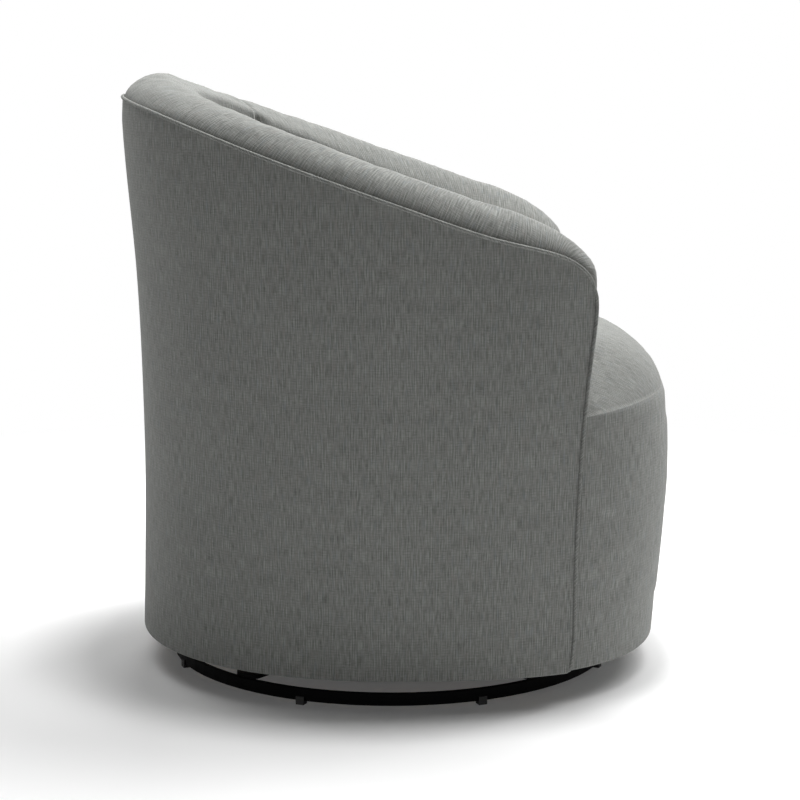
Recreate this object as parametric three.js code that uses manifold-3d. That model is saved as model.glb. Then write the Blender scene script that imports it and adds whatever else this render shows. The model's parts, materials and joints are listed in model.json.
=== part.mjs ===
// Swivel glider chair with an upholstered barrel body on a hidden glide mechanism and a steel ring base.
// Millimetres, +Z up, the chair faces -Y and is the same on both sides of X = 0.
// Heights are measured from the floor and forward reaches from the swivel axis.

import * as THREE from 'three';
import { mergeVertices } from 'three/addons/utils/BufferGeometryUtils.js';
import Module from 'manifold-3d';

const wasm = await Module();
wasm.setup();

// Clearances
const seatingGap = 0.3;
const runningGap = 0.3;
const cutOverrun = 1;

// Outline of the upholstered body
const hemHeight = 42;
const hemHalfWidth = 330;
const armHalfWidth = 343;
const armFlareHeight = 640;
const backFullness = 2.1;
const armFullness = 2.6;
const armOutlineReach = 384;
const backHemReach = 355;
const backWaistHeight = 305;
const backWaistReach = 349.7;
const backShoulderHeight = 546;
const backShoulderReach = 356.5;
const backBulgeHeight = 747;
const backBulgeReach = 372;
const backWeltHeight = 787;
const backWeltReach = 370.5;

// Front edge of the arms and the sloping top edge, both marked by the welt
const armFrontReach = 262;
const armFrontHeight = 538;
const armHemReach = 234;
const edgeLeanShares = [[0, 0], [0.1, 0.18], [0.31, 0.2], [0.55, 0.36], [0.75, 0.61], [0.95, 1], [1, 1]];
const topLineShares = [
  [0, 1], [0.11, 0.914], [0.34, 0.704], [0.6, 0.472], [0.775, 0.318],
  [0.9, 0.235], [0.95, 0.182], [0.985, 0.099], [1, 0],
];

// Rolled inside padding of the back and arms
const rollRise = 42;
const rollRiseShares = [
  [0, 0.72], [0.12, 0.61], [0.25, 0.565], [0.36, 0.655], [0.47, 0.79],
  [0.58, 0.885], [0.7, 0.955], [0.82, 1], [0.92, 0.87], [1, 0.18],
];
const padDepthTop = 104;
const backPadExtraDepth = 62;
const backPadLeanHeight = 300;
const padSeamShare = 0.32;
const armTipRounding = 16;
const armTipShare = 0.94;
const armTipStep = 9;
const armLeanReach = 29;
const armLeanShare = 0.9;

// Cover, welt and frame zone inside the wall
const coverThickness = 7.7;
const weltRadius = 3.2;
const weltSideGap = 0.8;
const ribOuterDepth = 11;
const ribInnerDepth = 46;
const ribHalfWidth = 18;
const padFrameGap = 1.7;
const ribRailGap = 1.1;
const ribShares = [0.36, 0.9];

// Seat
const seatFullness = 2.45;
const seatHemReach = 370.5;
const seatBellyHeight = 253;
const seatBellyReach = 387.5;
const seatSeamHeight = 382;
const seatSeamReach = 383;
const seatPanelThickness = 46;
const seatCrownHeight = 484;
const seatCrownRun = 200;
const seatWallRun = 110;
const cushionFrontGap = 0.9;
const cushionWallGap = 1.2;
const seatCrownShares = [
  [0, 0, 0], [0.1, 0.017, 0], [0.265, 0.05, 0.01], [0.44, 0.105, 0.02], [0.61, 0.19, 0.045],
  [0.775, 0.305, 0.11], [0.855, 0.4, 0.22], [0.92, 0.56, 0.42], [0.97, 0.78, 0.71], [1, 1, 1],
];

// Plywood boards and rails of the frame
const boardThickness = 18;
const hemBoardBottom = 46;
const hemBoardInnerDepth = 95;
const deckBottom = 300;
const deckHoleHalfWidth = 163;
const deckHoleFront = 215;
const deckHoleBack = 150;
const deckHoleCorner = 20;
const topRailHeight = 57;
const topRailDrop = 5.5;
const topRailShare = 0.925;

// Sinuous springs and the dust cover
const springCount = 4;
const springSpacing = 84;
const springWire = 3.4;
const springWaveWidth = 44;
const springWaves = 9;
const springWaveShares = [[-1, 0.125], [-1, 0.375], [1, 0.625], [1, 0.875]];
const springLap = 18;
const dustCoverThickness = 1.2;

// Steel ring base
const ringRadius = 313;
const ringWall = 6;
const ringBottom = 5;
const ringHeight = 17.2;
const ringCorner = 1;
const ringSegments = 72;
const glideCount = 8;
const glideWidth = 11.5;
const glideLip = 2.2;
const glideReach = 6;
const armBarWidth = 38;
const armBarThickness = 5;
const armBarDegrees = 51;
const armBarCorner = 4;

// Swivel bearing
const racePlateRadius = 95;
const racePlateThickness = 3;
const ballCircleRadius = 78;
const ballRadius = 4.5;
const ballCount = 12;
const grooveDepth = 1.2;
const grooveHalfWidth = 4.6;
const grooveFloorHalfWidth = 2.4;
const cageHalfWidth = 6;
const cageThickness = 1.4;
const kingBoltRadius = 5.7;
const kingHeadRadius = 12;
const kingHeadHeight = 5;
const kingNutRadius = 9.8;
const kingNutHeight = 8;
const kingNutSides = 6;
const kingThreadEnd = 3;

// Glide mechanism: hangers on the turntable, swinging links and the carriage under the seat
const crossbarWidth = 30;
const crossbarHeight = 16;
const crossbarWall = 2;
const crossbarReach = 60;
const hangerInnerFace = 150;
const mechanismPlate = 4;
const hangerFlangeWidth = 30;
const hangerFootReach = 82;
const pivotReach = 110;
const upperPivotHeight = 215;
const linkLength = 120;
const linkThickness = 5;
const linkGap = 4;
const linkCarriageGap = 5;
const earRadius = 18;
const linkEndRadius = 15;
const windowMargin = 24;
const windowSillMargin = 12;
const windowTopMargin = 36;
const carriageFlangeWidth = 36;
const carriageFlangeReach = 162;
const carriageTopReach = 150;

// Pivot pins, the same at both ends of each link
const pinShankRadius = 6;
const pinShoulderRadius = 9;
const pinCollarRadius = 12.5;
const pinCapThickness = 2.4;
const pinHeadThickness = 3.7;
const pinHeadRadius = 11;

// Carriage bolts
const boltRadius = 4;
const boltHeadRadius = 9;
const boltHeadHeight = 5;
const boltSetback = 1;
const boltReach = 138;

// Levels worked out from the floor up
const ringTop = ringBottom + ringHeight;
const armBarBottom = ringTop + seatingGap;
const lowerRaceBottom = armBarBottom + armBarThickness + seatingGap;
const lowerRaceTop = lowerRaceBottom + racePlateThickness;
const ballHeight = lowerRaceTop - grooveDepth + runningGap + ballRadius;
const upperRaceBottom = 2 * ballHeight - lowerRaceTop;
const upperRaceTop = upperRaceBottom + racePlateThickness;
const crossbarBottom = upperRaceTop + seatingGap;
const crossbarTop = crossbarBottom + crossbarHeight;
const lowerPivotHeight = upperPivotHeight - linkLength;
const hemBoardTop = hemBoardBottom + boardThickness;
const deckTop = deckBottom + boardThickness;
const carriageTop = deckBottom - seatingGap;
const springBottom = deckTop + seatingGap;
const cushionBottom = springBottom + springWire + seatingGap;
const hangerOuterFace = hangerInnerFace + mechanismPlate;
const linkInnerFace = hangerOuterFace + linkGap;
const linkOuterFace = linkInnerFace + linkThickness;
const carriageInnerFace = linkOuterFace + linkCarriageGap;
const carriageOuterFace = carriageInnerFace + mechanismPlate;
const boltSide = carriageOuterFace + carriageFlangeWidth / 2;
const weltClearance = weltRadius + weltSideGap;
const padOuterDepth = ribInnerDepth + padFrameGap;
const boardDepth = padOuterDepth;

// How finely the curved forms are divided
const edgePasses = 3;
const wallSteps = 28;
const wallCrowding = 1.6;
const seatSteps = 12;
const coverRows = 7;
const coverRowShares = [0, 0.22, 0.42, 0.6, 0.75, 0.87, 0.945, 1];
const rollSteps = 9;
const padInnerShares = [0.22, 0.46, 0.72, 1];
const padOuterShares = [0, 0.25, 0.5, 0.75, 1];
const weltSides = 6;
const arcSegments = 10;
const ballRows = 6;
const pinSegments = 12;

// Finishes
const finishes = {
  cover: new THREE.MeshStandardMaterial({ color: 0x868b88, roughness: 0.95, metalness: 0 }),
  blackSteel: new THREE.MeshStandardMaterial({ color: 0x0b0b0c, roughness: 0.45, metalness: 0.6 }),
  glideRubber: new THREE.MeshStandardMaterial({ color: 0x101010, roughness: 0.8, metalness: 0 }),
  zincSteel: new THREE.MeshStandardMaterial({ color: 0x9a9c9e, roughness: 0.4, metalness: 0.9 }),
  springSteel: new THREE.MeshStandardMaterial({ color: 0x4a4d50, roughness: 0.4, metalness: 0.9 }),
  plywood: new THREE.MeshStandardMaterial({ color: 0xc19a6b, roughness: 0.7, metalness: 0 }),
  dustCloth: new THREE.MeshStandardMaterial({ color: 0x141414, roughness: 1, metalness: 0 }),
};

// The chair stands with the middle of its overall depth at Y = 0, so the swivel axis lies a little behind it
const chair = new THREE.Group();
chair.name = 'glider_chair';
chair.position.y = (seatBellyReach - backBulgeReach) / 2;

function addPart(name, geometry, finish) {
  const mesh = new THREE.Mesh(geometry, finishes[finish]);
  mesh.name = name;
  chair.add(mesh);
  return mesh;
}

// A point given by its side (left is positive), its forward reach and its height
function at(side, forward, height) {
  return new THREE.Vector3(side, -forward, height);
}

// Smooth curve through [x, y] pairs in rising x, level beyond both ends
function smoothAt(pairs, x) {
  const last = pairs.length - 1;
  if (x <= pairs[0][0]) return pairs[0][1];
  if (x >= pairs[last][0]) return pairs[last][1];
  let i = 0;
  while (x > pairs[i + 1][0]) i += 1;
  const slope = (k) => {
    const before = pairs[Math.max(k - 1, 0)];
    const after = pairs[Math.min(k + 1, last)];
    return (after[1] - before[1]) / (after[0] - before[0]);
  };
  const width = pairs[i + 1][0] - pairs[i][0];
  const s = (x - pairs[i][0]) / width;
  const blend = s * s * (3 - 2 * s);
  const ease = s * (1 - s) * width;
  const bend = (1 - s) * slope(i) - s * slope(i + 1);
  return pairs[i][1] + (pairs[i + 1][1] - pairs[i][1]) * blend + ease * bend;
}

// Rounded plan outline seen from above: bearing 0 looks ahead and a half turn looks to the back
function outlinePoint(bearing, reach, halfWidth, fullness, inset) {
  const ahead = Math.abs(Math.cos(bearing)) / reach;
  const aside = Math.abs(Math.sin(bearing)) / halfWidth;
  const radius = (ahead ** fullness + aside ** fullness) ** (-1 / fullness);
  const side = radius * Math.sin(bearing);
  const forward = radius * Math.cos(bearing);
  const normal = new THREE.Vector2(
    (Math.sign(side) * (Math.abs(side) / halfWidth) ** (fullness - 1)) / halfWidth,
    (Math.sign(forward) * (Math.abs(forward) / reach) ** (fullness - 1)) / reach,
  ).normalize();
  return { side: side - normal.x * inset, forward: forward - normal.y * inset };
}

function bodyHalfWidth(height) {
  const share = THREE.MathUtils.clamp((height - hemHeight) / (armFlareHeight - hemHeight), 0, 1);
  return THREE.MathUtils.lerp(hemHalfWidth, armHalfWidth, share);
}

function backReach(height) {
  return smoothAt([
    [hemHeight, backHemReach],
    [backWaistHeight, backWaistReach],
    [backShoulderHeight, backShoulderReach],
    [backBulgeHeight, backBulgeReach],
    [backWeltHeight, backWeltReach],
  ], height);
}

// Outer surface of the back and arms, or a surface lying deeper by the inset
function bodyPoint(bearing, height, inset) {
  const toBack = Math.cos(bearing) < 0;
  const reach = toBack ? backReach(height) : armOutlineReach;
  const fullness = toBack ? backFullness : armFullness;
  const plan = outlinePoint(bearing, reach, bodyHalfWidth(height), fullness, inset);
  return at(plan.side, plan.forward, height);
}

// Front edge of the arms, which leans forward as it rises
function edgeReach(height) {
  const share = (height - hemHeight) / (armFrontHeight - hemHeight);
  return armHemReach + (armFrontReach - armHemReach) * smoothAt(edgeLeanShares, share);
}

function edgeBearing(height) {
  const forward = edgeReach(height);
  const side = bodyHalfWidth(height) * (1 - (forward / armOutlineReach) ** armFullness) ** (1 / armFullness);
  return Math.atan2(side, forward);
}

// Stations run along the wall: 0 at the middle of the back, 1 at the left arm front, -1 at the right one
function wallBearing(station, height) {
  const turn = Math.abs(station) * (Math.PI - edgeBearing(height));
  return station < 0 ? turn - Math.PI : Math.PI - turn;
}

function wallPoint(station, height, depth) {
  return bodyPoint(wallBearing(station, height), height, depth);
}

// Height of the welt along the top of the wall
function topEdge(station) {
  let height = armFlareHeight;
  for (let pass = 0; pass < edgePasses; pass += 1) {
    const forward = -wallPoint(station, height, 0).y;
    const share = (forward + backWeltReach) / (armFrontReach + backWeltReach);
    height = armFrontHeight + (backWeltHeight - armFrontHeight) * smoothAt(topLineShares, share);
  }
  return height;
}

const wallLength = (Math.PI - edgeBearing(armFrontHeight)) * armHalfWidth;

// Station of a place that lies a given distance before the arm's front edge
function stationBefore(distance) {
  return 1 - distance / wallLength;
}

// Stations from one end of a stretch of wall to the other, closer together towards the arm fronts
function stationsBetween(first, last) {
  const all = [first];
  for (let k = -wallSteps; k <= wallSteps; k += 1) {
    const station = Math.sign(k) * (1 - (1 - Math.abs(k) / wallSteps) ** wallCrowding);
    const spare = 1 / wallSteps / wallSteps;
    if (station > first + spare && station < last - spare) all.push(station);
  }
  all.push(last);
  return all;
}

// Triangles that close a ring of points, wound the way the ring runs
function capTriangles(ring) {
  const normal = new THREE.Vector3();
  ring.forEach((point, i) => {
    const next = ring[(i + 1) % ring.length];
    normal.add(new THREE.Vector3().crossVectors(point, next));
  });
  const size = [Math.abs(normal.x), Math.abs(normal.y), Math.abs(normal.z)];
  const dropped = size.indexOf(Math.max(...size));
  const flat = ring.map((point) => {
    const kept = point.toArray().filter((value, axis) => axis !== dropped);
    return new THREE.Vector2(kept[0], kept[1]);
  });
  const turn = Math.sign(THREE.ShapeUtils.area(flat));
  return THREE.ShapeUtils.triangulateShape(flat, []).map((corners) => {
    const area = THREE.ShapeUtils.area(corners.map((corner) => flat[corner]));
    return Math.sign(area) === turn ? corners : [...corners].reverse();
  });
}

// The same for a thin section whose first half runs up one face and second half down the other
function ladderTriangles(ring) {
  const rungs = ring.length / 2 - 1;
  const triangles = [];
  for (let i = 0; i < rungs; i += 1) {
    const opposite = ring.length - 1 - i;
    triangles.push([i, i + 1, opposite - 1], [i, opposite - 1, opposite]);
  }
  return triangles;
}

// Reverses the faces of a closed solid that is inside out
function facingOut(geometry) {
  const corner = (i) => new THREE.Vector3().fromBufferAttribute(geometry.attributes.position, i);
  const index = [...geometry.index.array];
  let volume = 0;
  for (let i = 0; i < index.length; i += 3) {
    const [a, b, c] = [corner(index[i]), corner(index[i + 1]), corner(index[i + 2])];
    volume += a.dot(b.cross(c));
  }
  if (volume < 0) geometry.setIndex(index.reverse());
  return geometry;
}

// Closed solid through a row of rings with the same number of points, faces turned outwards
function loft(rings, closedBy = capTriangles) {
  const count = rings[0].length;
  const points = rings.flat();
  const faces = [];
  for (let r = 0; r + 1 < rings.length; r += 1) {
    for (let i = 0; i < count; i += 1) {
      const a = r * count + i;
      const b = r * count + ((i + 1) % count);
      faces.push([a, b, b + count], [a, b + count, a + count]);
    }
  }
  const lastRing = (rings.length - 1) * count;
  closedBy(rings[0]).forEach((corners) => faces.push([...corners].reverse()));
  closedBy(rings.at(-1)).forEach((corners) => faces.push(corners.map((corner) => corner + lastRing)));
  const geometry = new THREE.BufferGeometry().setFromPoints(points);
  geometry.setIndex(faces.flat());
  return facingOut(geometry);
}

function solidOf(geometry) {
  const bare = geometry.clone();
  bare.deleteAttribute('normal');
  bare.deleteAttribute('uv');
  const welded = mergeVertices(bare);
  return new wasm.Manifold(new wasm.Mesh({
    numProp: 3,
    vertProperties: new Float32Array(welded.attributes.position.array),
    triVerts: new Uint32Array(welded.index.array),
  }));
}

function geometryOf(solid) {
  const mesh = solid.getMesh();
  const geometry = new THREE.BufferGeometry();
  geometry.setAttribute('position', new THREE.BufferAttribute(new Float32Array(mesh.vertProperties), 3));
  geometry.setIndex(new THREE.BufferAttribute(new Uint32Array(mesh.triVerts), 1));
  return geometry;
}

function joined(first, second) {
  return geometryOf(solidOf(first).add(solidOf(second)));
}

function polygon(pairs) {
  return new THREE.Shape(pairs.map(([x, y]) => new THREE.Vector2(x, y)));
}

function rectangle(x, otherX, y, otherY) {
  const [left, right] = [Math.min(x, otherX), Math.max(x, otherX)];
  const [low, high] = [Math.min(y, otherY), Math.max(y, otherY)];
  return polygon([[left, low], [right, low], [right, high], [left, high]]);
}

function circlePath(x, y, radius) {
  return new THREE.Path().absarc(x, y, radius, 0, 2 * Math.PI, true);
}

function extruded(shape, depth) {
  return new THREE.ExtrudeGeometry(shape, { depth, bevelEnabled: false, curveSegments: arcSegments });
}

// Stands a flat shape of [forward, height] upright, its thickness lying between two side distances
function sidePlate(shape, innerFace, outerFace, sideSign) {
  const near = sideSign > 0 ? outerFace : -innerFace;
  const standing = new THREE.Matrix4().makeBasis(
    new THREE.Vector3(0, -1, 0),
    new THREE.Vector3(0, 0, 1),
    new THREE.Vector3(-1, 0, 0),
  ).setPosition(near, 0, 0);
  return extruded(shape, outerFace - innerFace).applyMatrix4(standing);
}

// Box between two sides, two reaches and two heights
function block(sides, reaches, heights) {
  const size = [sides, reaches, heights].map(([low, high]) => high - low);
  const geometry = new THREE.BoxGeometry(...size);
  const middle = [sides, reaches, heights].map(([low, high]) => (low + high) / 2);
  return geometry.translate(middle[0], -middle[1], middle[2]);
}

// Turned solid about the vertical axis, from [radius, height] pairs
function turned(pairs, segments) {
  const profile = pairs.map(([x, y]) => new THREE.Vector2(x, y));
  return facingOut(new THREE.LatheGeometry(profile, segments)).rotateX(Math.PI / 2);
}

const sides = [['left', 1], ['right', -1]];
const ends = [['front', 1], ['rear', -1]];

// Steel ring that carries the chair
function baseRing() {
  const inner = ringRadius - ringWall;
  return turned([
    [inner, ringBottom + ringCorner], [inner + ringCorner, ringBottom],
    [ringRadius - ringCorner, ringBottom], [ringRadius, ringBottom + ringCorner],
    [ringRadius, ringTop - ringCorner], [ringRadius - ringCorner, ringTop],
    [inner + ringCorner, ringTop], [inner, ringTop - ringCorner], [inner, ringBottom + ringCorner],
  ], ringSegments);
}

// Clip-on glide that straddles the lower edge of the ring
function glide(turnAngle) {
  const slot = ringWall / 2 + runningGap;
  const outer = slot + glideLip;
  const top = ringBottom + glideReach;
  const floor = ringBottom - seatingGap;
  const shape = polygon([
    [-outer, 0], [outer, 0], [outer, top], [slot, top],
    [slot, floor], [-slot, floor], [-slot, top], [-outer, top],
  ]);
  const radius = (ringRadius - ringWall / 2) * Math.cos(Math.PI / ringSegments);
  const geometry = sidePlate(shape, -glideWidth / 2, glideWidth / 2, 1);
  return geometry.translate(0, -radius, 0).rotateZ(turnAngle);
}

// Flat bar from the hub out to the ring; the bars splay more to the sides than to the front
function crossArm(turnAngle) {
  const half = armBarWidth / 2;
  const inner = half * Math.tan(THREE.MathUtils.degToRad(armBarDegrees)) + seatingGap;
  const outer = ringRadius - ringWall / 2;
  const shape = polygon([
    [-half, -inner], [-half, -outer + armBarCorner], [armBarCorner - half, -outer],
    [half - armBarCorner, -outer], [half, -outer + armBarCorner], [half, -inner],
  ]);
  return extruded(shape, armBarThickness).translate(0, 0, armBarBottom).rotateZ(turnAngle);
}

function buildBase() {
  addPart('base_ring', baseRing(), 'blackSteel');
  ends.forEach(([end, endSign]) => sides.forEach(([side, sideSign]) => {
    const turn = THREE.MathUtils.degToRad(armBarDegrees);
    const turnAngle = sideSign * (endSign > 0 ? turn : Math.PI - turn);
    addPart(`cross_arm_${end}_${side}`, crossArm(turnAngle), 'blackSteel');
  }));
  for (let k = 0; k < glideCount; k += 1) {
    const turnAngle = ((k + 1 / 2) * 2 * Math.PI) / glideCount;
    addPart(`foot_glide_${k + 1}`, glide(turnAngle), 'glideRubber');
  }
}

// Ball race plate with its groove; face is the grooved side and back the plain one
function racePlate(face, back) {
  const into = Math.sign(back - face) * grooveDepth;
  return turned([
    [kingBoltRadius + runningGap, face],
    [ballCircleRadius - grooveHalfWidth, face],
    [ballCircleRadius - grooveFloorHalfWidth, face + into],
    [ballCircleRadius + grooveFloorHalfWidth, face + into],
    [ballCircleRadius + grooveHalfWidth, face],
    [racePlateRadius, face],
    [racePlateRadius, back],
    [kingBoltRadius + runningGap, back],
    [kingBoltRadius + runningGap, face],
  ], ringSegments / 2);
}

function ballCage() {
  const inner = ballCircleRadius - cageHalfWidth;
  const outer = ballCircleRadius + cageHalfWidth;
  const low = ballHeight - cageThickness / 2;
  const high = ballHeight + cageThickness / 2;
  const plate = [[inner, low], [outer, low], [outer, high], [inner, high], [inner, low]];
  let cage = solidOf(turned(plate, ringSegments / 2));
  for (let k = 0; k < ballCount; k += 1) {
    const ball = new THREE.SphereGeometry(ballRadius, arcSegments, ballRows).rotateX(Math.PI / 2);
    ball.translate(0, -ballCircleRadius, ballHeight).rotateZ((2 * Math.PI * k) / ballCount);
    cage = cage.add(solidOf(ball));
  }
  return geometryOf(cage);
}

function kingBolt() {
  const bottom = lowerRaceBottom - seatingGap - kingNutHeight - kingThreadEnd;
  const top = upperRaceTop + seatingGap;
  return turned([
    [0, bottom], [kingBoltRadius, bottom], [kingBoltRadius, top],
    [kingHeadRadius, top], [kingHeadRadius, top + kingHeadHeight], [0, top + kingHeadHeight],
  ], 2 * pinSegments);
}

function kingNut() {
  const corners = [];
  for (let k = 0; k < kingNutSides; k += 1) {
    const turn = (2 * Math.PI * k) / kingNutSides;
    corners.push([kingNutRadius * Math.cos(turn), kingNutRadius * Math.sin(turn)]);
  }
  const nut = polygon(corners);
  nut.holes.push(circlePath(0, 0, kingBoltRadius + runningGap));
  return extruded(nut, kingNutHeight).translate(0, 0, lowerRaceBottom - seatingGap - kingNutHeight);
}

function buildBearing() {
  addPart('bearing_lower_race', racePlate(lowerRaceTop, lowerRaceBottom), 'zincSteel');
  addPart('bearing_ball_cage', ballCage(), 'zincSteel');
  addPart('bearing_upper_race', racePlate(upperRaceBottom, upperRaceTop), 'zincSteel');
  addPart('king_bolt', kingBolt(), 'zincSteel');
  addPart('king_nut', kingNut(), 'zincSteel');
}

// Box section bar across the turntable
function crossbar(endSign) {
  const half = crossbarWidth / 2;
  const shape = polygon([[-half, 0], [half, 0], [half, crossbarHeight], [-half, crossbarHeight]]);
  const bore = polygon([
    [-half + crossbarWall, crossbarWall], [-half + crossbarWall, crossbarHeight - crossbarWall],
    [half - crossbarWall, crossbarHeight - crossbarWall], [half - crossbarWall, crossbarWall],
  ]);
  shape.holes.push(bore);
  const end = hangerInnerFace - seatingGap;
  return sidePlate(shape, -end, end, 1).translate(0, -endSign * crossbarReach, crossbarBottom);
}

// Upright plate that carries the upper pivots, with a flange resting on the crossbars
function hanger(sideSign) {
  const shape = new THREE.Shape();
  shape.moveTo(-hangerFootReach, crossbarBottom);
  shape.lineTo(hangerFootReach, crossbarBottom);
  shape.absarc(pivotReach, upperPivotHeight, earRadius, 0, Math.PI / 2);
  shape.absarc(-pivotReach, upperPivotHeight, earRadius, Math.PI / 2, Math.PI);
  const sill = crossbarTop + seatingGap + mechanismPlate + windowSillMargin;
  const lintel = upperPivotHeight - earRadius;
  shape.holes.push(polygon([
    [windowMargin - hangerFootReach, sill], [windowMargin - pivotReach, lintel],
    [pivotReach - windowMargin, lintel], [hangerFootReach - windowMargin, sill],
  ]));
  [-pivotReach, pivotReach].forEach((reach) => {
    shape.holes.push(circlePath(reach, upperPivotHeight, pinShankRadius + runningGap));
  });
  const plate = sidePlate(shape, hangerInnerFace, hangerOuterFace, sideSign);
  const inner = hangerInnerFace - hangerFlangeWidth;
  const outer = hangerOuterFace - cutOverrun;
  const across = sideSign > 0 ? [inner, outer] : [-outer, -inner];
  const levels = [crossbarTop + seatingGap, crossbarTop + seatingGap + mechanismPlate];
  return joined(plate, block(across, [-hangerFootReach, hangerFootReach], levels));
}

// Hanging link with a bearing eye at each end
function link(endSign, sideSign) {
  const shape = new THREE.Shape();
  const reach = endSign * pivotReach;
  shape.absarc(reach, upperPivotHeight, linkEndRadius, 0, Math.PI);
  shape.absarc(reach, lowerPivotHeight, linkEndRadius, Math.PI, 2 * Math.PI);
  [upperPivotHeight, lowerPivotHeight].forEach((height) => {
    shape.holes.push(circlePath(reach, height, pinShoulderRadius + runningGap));
  });
  return sidePlate(shape, linkInnerFace, linkOuterFace, sideSign);
}

// Shouldered pivot pin; its plate is gripped between head and collar, and the link turns on the shoulder
function pivotPin(plateFar, plateNear, linkNear, linkFar, endSign, sideSign, height) {
  const away = Math.sign(linkFar - plateFar);
  const gap = seatingGap * away;
  const head = pinHeadThickness * away;
  const cap = pinCapThickness * away;
  const profile = [
    [0, plateFar - gap - head], [pinHeadRadius, plateFar - gap - head], [pinHeadRadius, plateFar - gap],
    [pinShankRadius, plateFar - gap], [pinShankRadius, plateNear + gap],
    [pinCollarRadius, plateNear + gap], [pinCollarRadius, linkNear - gap],
    [pinShoulderRadius, linkNear - gap], [pinShoulderRadius, linkFar + gap],
    [pinCollarRadius, linkFar + gap], [pinCollarRadius, linkFar + gap + cap], [0, linkFar + gap + cap],
  ].map(([radius, side]) => [radius, sideSign * side]);
  const geometry = turned(profile, pinSegments).rotateY(Math.PI / 2);
  return geometry.translate(0, -endSign * pivotReach, height);
}

// Carriage side: plate from the lower pivots up to a flange bolted under the deck
function carriageRail(sideSign) {
  const shape = new THREE.Shape();
  shape.absarc(-pivotReach, lowerPivotHeight, earRadius, Math.PI, 1.5 * Math.PI);
  shape.absarc(pivotReach, lowerPivotHeight, earRadius, 1.5 * Math.PI, 2 * Math.PI);
  shape.lineTo(carriageTopReach, carriageTop);
  shape.lineTo(-carriageTopReach, carriageTop);
  const sill = lowerPivotHeight + earRadius;
  const lintel = carriageTop - windowMargin;
  shape.holes.push(polygon([
    [windowMargin - pivotReach, sill], [windowTopMargin - carriageTopReach, lintel],
    [carriageTopReach - windowTopMargin, lintel], [pivotReach - windowMargin, sill],
  ]));
  [-pivotReach, pivotReach].forEach((reach) => {
    shape.holes.push(circlePath(reach, lowerPivotHeight, pinShankRadius + runningGap));
  });
  const plate = sidePlate(shape, carriageInnerFace, carriageOuterFace, sideSign);
  const flangeInner = sideSign * (carriageInnerFace + cutOverrun);
  const flangeOuter = sideSign * (carriageOuterFace + carriageFlangeWidth);
  const flangeShape = rectangle(flangeInner, flangeOuter, -carriageFlangeReach, carriageFlangeReach);
  [-boltReach, boltReach].forEach((reach) => {
    flangeShape.holes.push(circlePath(sideSign * boltSide, reach, boltRadius + runningGap));
  });
  const flange = extruded(flangeShape, mechanismPlate).translate(0, 0, carriageTop - mechanismPlate);
  return joined(plate, flange);
}

function carriageBolt(endSign, sideSign) {
  const headTop = carriageTop - mechanismPlate - seatingGap;
  const shankTop = deckTop - boltSetback;
  const bolt = turned([
    [0, headTop - boltHeadHeight], [boltHeadRadius / 2, headTop - boltHeadHeight],
    [boltHeadRadius, headTop - boltHeadHeight / 2], [boltHeadRadius, headTop],
    [boltRadius, headTop], [boltRadius, shankTop], [0, shankTop],
  ], pinSegments);
  return bolt.translate(sideSign * boltSide, -endSign * boltReach, 0);
}

function buildMechanism() {
  ends.forEach(([end, endSign]) => addPart(`turntable_crossbar_${end}`, crossbar(endSign), 'blackSteel'));
  sides.forEach(([side, sideSign]) => {
    addPart(`hanger_${side}`, hanger(sideSign), 'blackSteel');
    addPart(`carriage_rail_${side}`, carriageRail(sideSign), 'blackSteel');
  });
  const upper = [hangerInnerFace, hangerOuterFace, linkInnerFace, linkOuterFace];
  const lower = [carriageOuterFace, carriageInnerFace, linkOuterFace, linkInnerFace];
  ends.forEach(([end, endSign]) => sides.forEach(([side, sideSign]) => {
    const place = `${end}_${side}`;
    const upperPin = pivotPin(...upper, endSign, sideSign, upperPivotHeight);
    const lowerPin = pivotPin(...lower, endSign, sideSign, lowerPivotHeight);
    addPart(`swing_link_${place}`, link(endSign, sideSign), 'blackSteel');
    addPart(`upper_pivot_pin_${place}`, upperPin, 'zincSteel');
    addPart(`lower_pivot_pin_${place}`, lowerPin, 'zincSteel');
    addPart(`carriage_bolt_${place}`, carriageBolt(endSign, sideSign), 'zincSteel');
  }));
}

// Front of the seat: reach of its face at each height
function seatReach(height) {
  return smoothAt([
    [hemHeight, seatHemReach], [seatBellyHeight, seatBellyReach], [seatSeamHeight, seatSeamReach],
  ], height);
}

function seatPoint(bearing, height, inset) {
  const plan = outlinePoint(bearing, seatReach(height), bodyHalfWidth(height), seatFullness, inset);
  return at(plan.side, plan.forward, height);
}

// Bearings across the seat front, ending just ahead of the welt on each arm front
function seatBearings(height) {
  const limit = edgeBearing(height) - weltClearance / armHalfWidth;
  const all = [];
  for (let k = -seatSteps; k <= seatSteps; k += 1) all.push((limit * k) / seatSteps);
  return all;
}

// Board outline inside the wall and the seat front, tight enough to clear both over the board's thickness
function boardOutline(bottom, wallDepth) {
  const limit = stationBefore(weltClearance);
  const outlineAt = (height) => {
    const front = seatBearings(height).map((bearing) => seatPoint(bearing, height, boardDepth));
    const wall = stationsBetween(-1, 1).map((station) => wallPoint(station * limit, height, wallDepth));
    return [...front, ...wall.reverse()].map((point) => new THREE.Vector2(point.x, point.y));
  };
  const upper = outlineAt(bottom + boardThickness);
  return outlineAt(bottom).map((point, i) => (point.length() < upper[i].length() ? point : upper[i]));
}

function hemBoard() {
  const shape = new THREE.Shape(boardOutline(hemBoardBottom, ribOuterDepth));
  const hole = [];
  for (let k = 0; k < wallSteps * 2; k += 1) {
    const bearing = (-Math.PI * k) / wallSteps;
    const ahead = Math.cos(bearing) > 0;
    const point = ahead
      ? seatPoint(bearing, hemBoardBottom, hemBoardInnerDepth)
      : bodyPoint(bearing, hemBoardBottom, hemBoardInnerDepth);
    hole.push(new THREE.Vector2(point.x, point.y));
  }
  shape.holes.push(new THREE.Path(hole));
  return extruded(shape, boardThickness).translate(0, 0, hemBoardBottom);
}

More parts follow.
